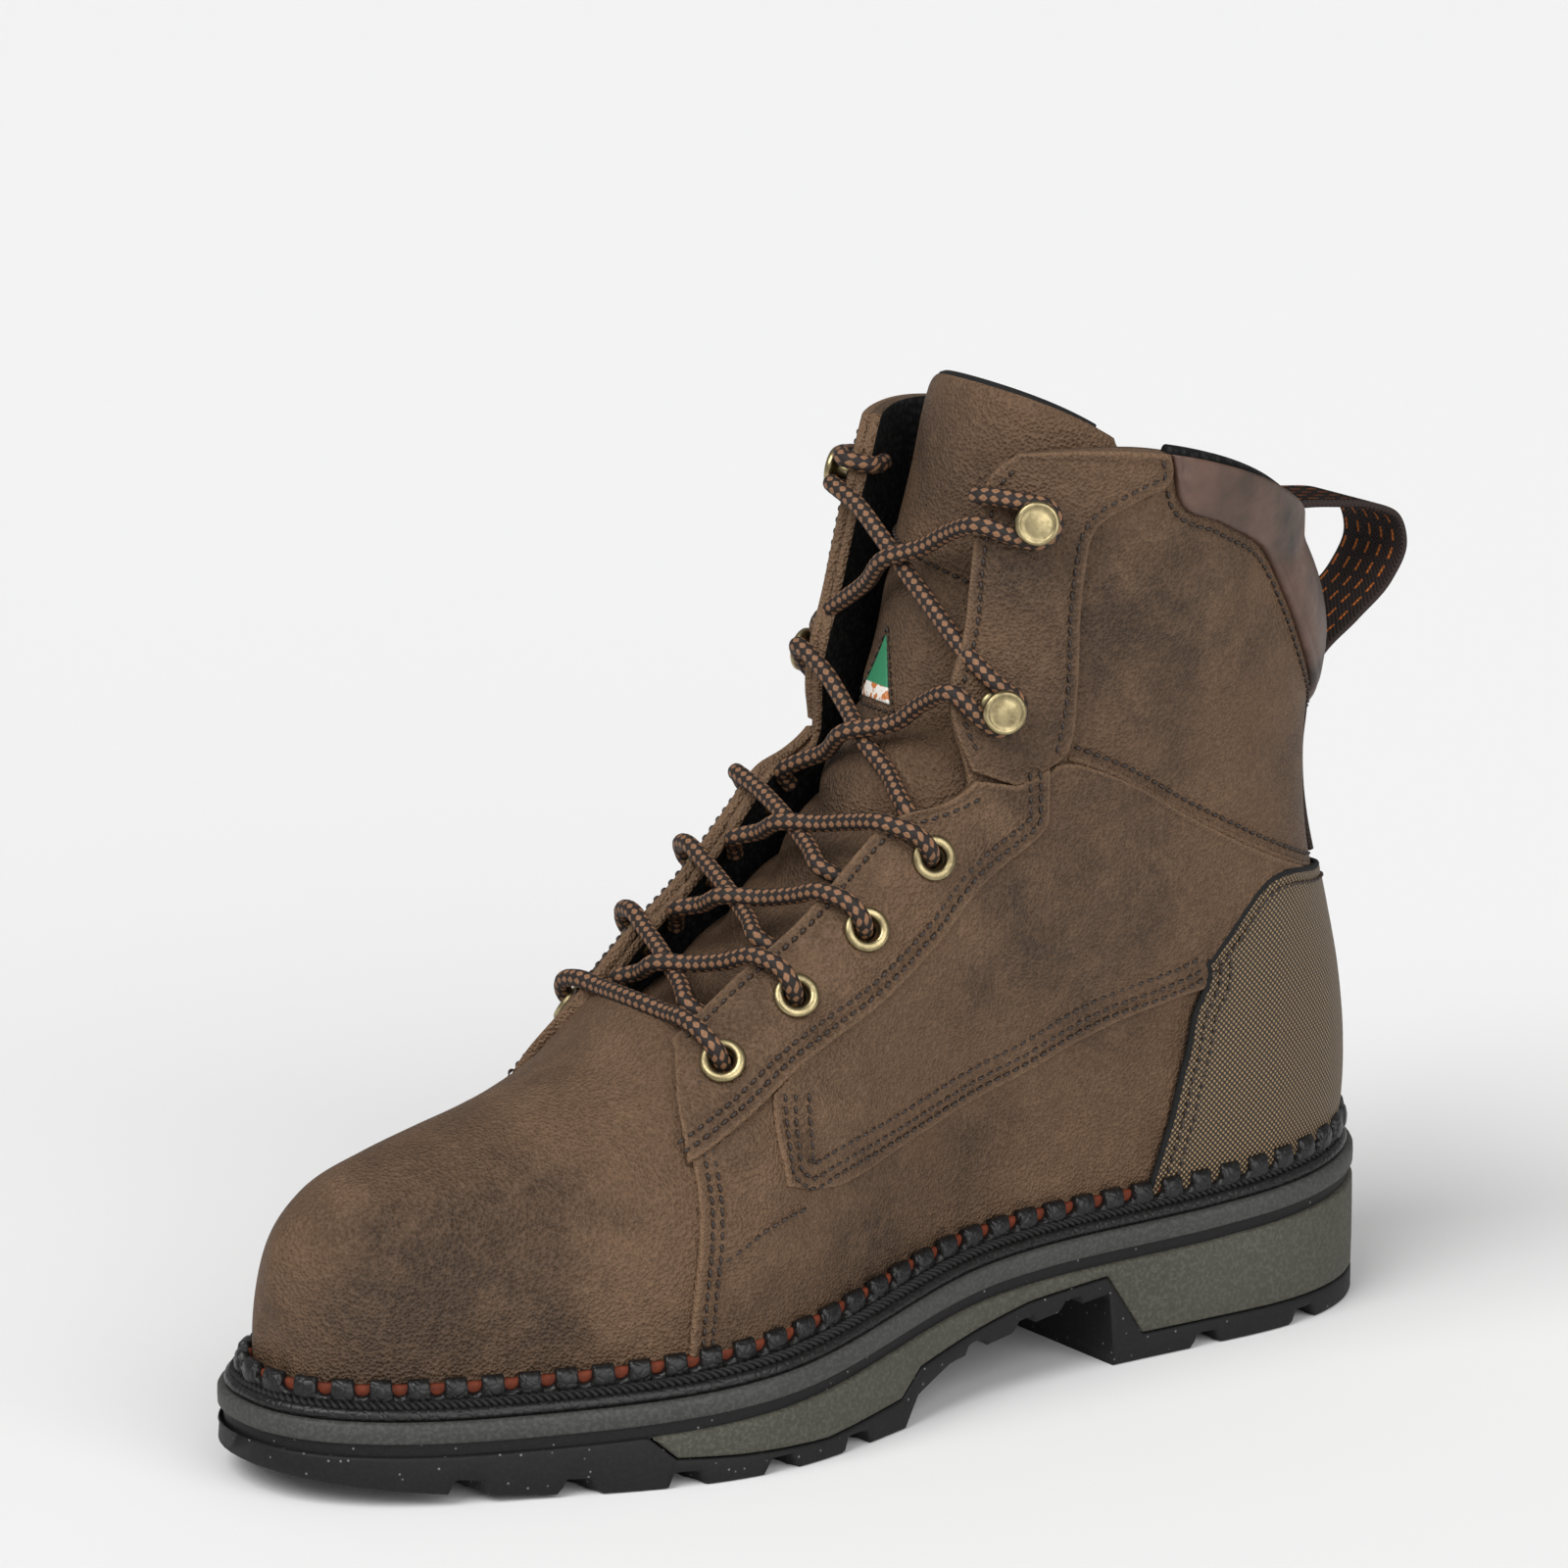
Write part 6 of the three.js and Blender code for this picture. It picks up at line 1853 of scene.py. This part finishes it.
class BootColours(bpy.types.PropertyGroup):
    """Colours of the boot's finishes"""

    nubuck: colour_setting("Nubuck", "Main shade of the leather", srgb(94, 72, 54))
    nubuck_dark: colour_setting("Nubuck, dark", "Waxed and worn-in shade", srgb(52, 40, 31))
    # The light nubuck shade also lightens the pebble grain's ridges, as painted light against the darker pores.
    nubuck_light: colour_setting("Nubuck, light", "Rubbed and cut-edge shade", srgb(124, 98, 75))
    smooth_leather: colour_setting("Smooth leather", "Collar leather", srgb(92, 67, 55))
    nylon_light: colour_setting("Nylon, light", "Raised threads of the counter", srgb(148, 122, 88))
    nylon_dark: colour_setting("Nylon, dark", "Ground of the counter", srgb(40, 33, 25))
    rubber: colour_setting("Rubber", "Black outsole", srgb(15, 15, 15))
    midsole: colour_setting("Midsole", "Grey band", srgb(55, 55, 53))
    insert: colour_setting("Insert", "Grey-green side of the sole", srgb(64, 63, 55))
    welt: colour_setting("Welt", "Black rand and welt", srgb(24, 23, 23))
    rust: colour_setting("Rust", "Leather behind the rand", srgb(112, 48, 24))
    brass: colour_setting("Brass", "Eyelets and hooks", srgb(170, 156, 118))
    lace_light: colour_setting("Lace, light", "Brown strands of the braid", srgb(138, 100, 72))
    lace_dark: colour_setting("Lace, dark", "Black strands of the braid", srgb(34, 27, 24))
    thread: colour_setting("Thread", "Stitching of the upper", srgb(50, 36, 27))
    webbing: colour_setting("Webbing", "Ground of the pull loop", srgb(52, 40, 36))
    webbing_dash: colour_setting("Webbing dash", "Orange dashes of the pull loop", srgb(190, 104, 40))
    tag: colour_setting("Tag", "Woven tag on the tongue", srgb(40, 122, 84))
    tag_band: colour_setting("Tag band", "Pale band of the tag", srgb(226, 222, 214))
    floor: colour_setting("Floor", "Studio floor", (0.835, 0.835, 0.835))


STEPS = (
    BOOT_OT_stage, BOOT_OT_outsole, BOOT_OT_side_insert, BOOT_OT_midsole, BOOT_OT_welt, BOOT_OT_rand, BOOT_OT_insole,
    BOOT_OT_vamp, BOOT_OT_quarters, BOOT_OT_panels, BOOT_OT_counter, BOOT_OT_collar, BOOT_OT_seams, BOOT_OT_tongue,
    BOOT_OT_eyelets, BOOT_OT_hooks, BOOT_OT_laces, BOOT_OT_pull_loop,
)


class BOOT_PT_panel(bpy.types.Panel):
    """Lists the boot's steps and settings"""

    bl_idname = "BOOT_PT_panel"
    bl_label = "Work Boot"
    bl_space_type = "VIEW_3D"
    bl_region_type = "UI"
    bl_category = "Boot"

    def draw(self, context):
        for step in STEPS:
            self.layout.operator(step.bl_idname)
        for group in (context.scene.boot_sizes, context.scene.boot_colours):
            for name in group.__annotations__:
                self.layout.prop(group, name)


CLASSES = (BootSizes, BootColours, *STEPS, BOOT_PT_panel)


def register():
    for each in CLASSES:
        bpy.utils.register_class(each)
    bpy.types.Scene.boot_sizes = bpy.props.PointerProperty(type=BootSizes)
    bpy.types.Scene.boot_colours = bpy.props.PointerProperty(type=BootColours)


def unregister():
    del bpy.types.Scene.boot_colours
    del bpy.types.Scene.boot_sizes
    for each in reversed(CLASSES):
        bpy.utils.unregister_class(each)


def main():
    """Registers the add-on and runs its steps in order."""
    register()
    for step in STEPS:
        group, name = step.bl_idname.split(".")
        getattr(getattr(bpy.ops, group), name)()


if __name__ == "__main__":
    main()
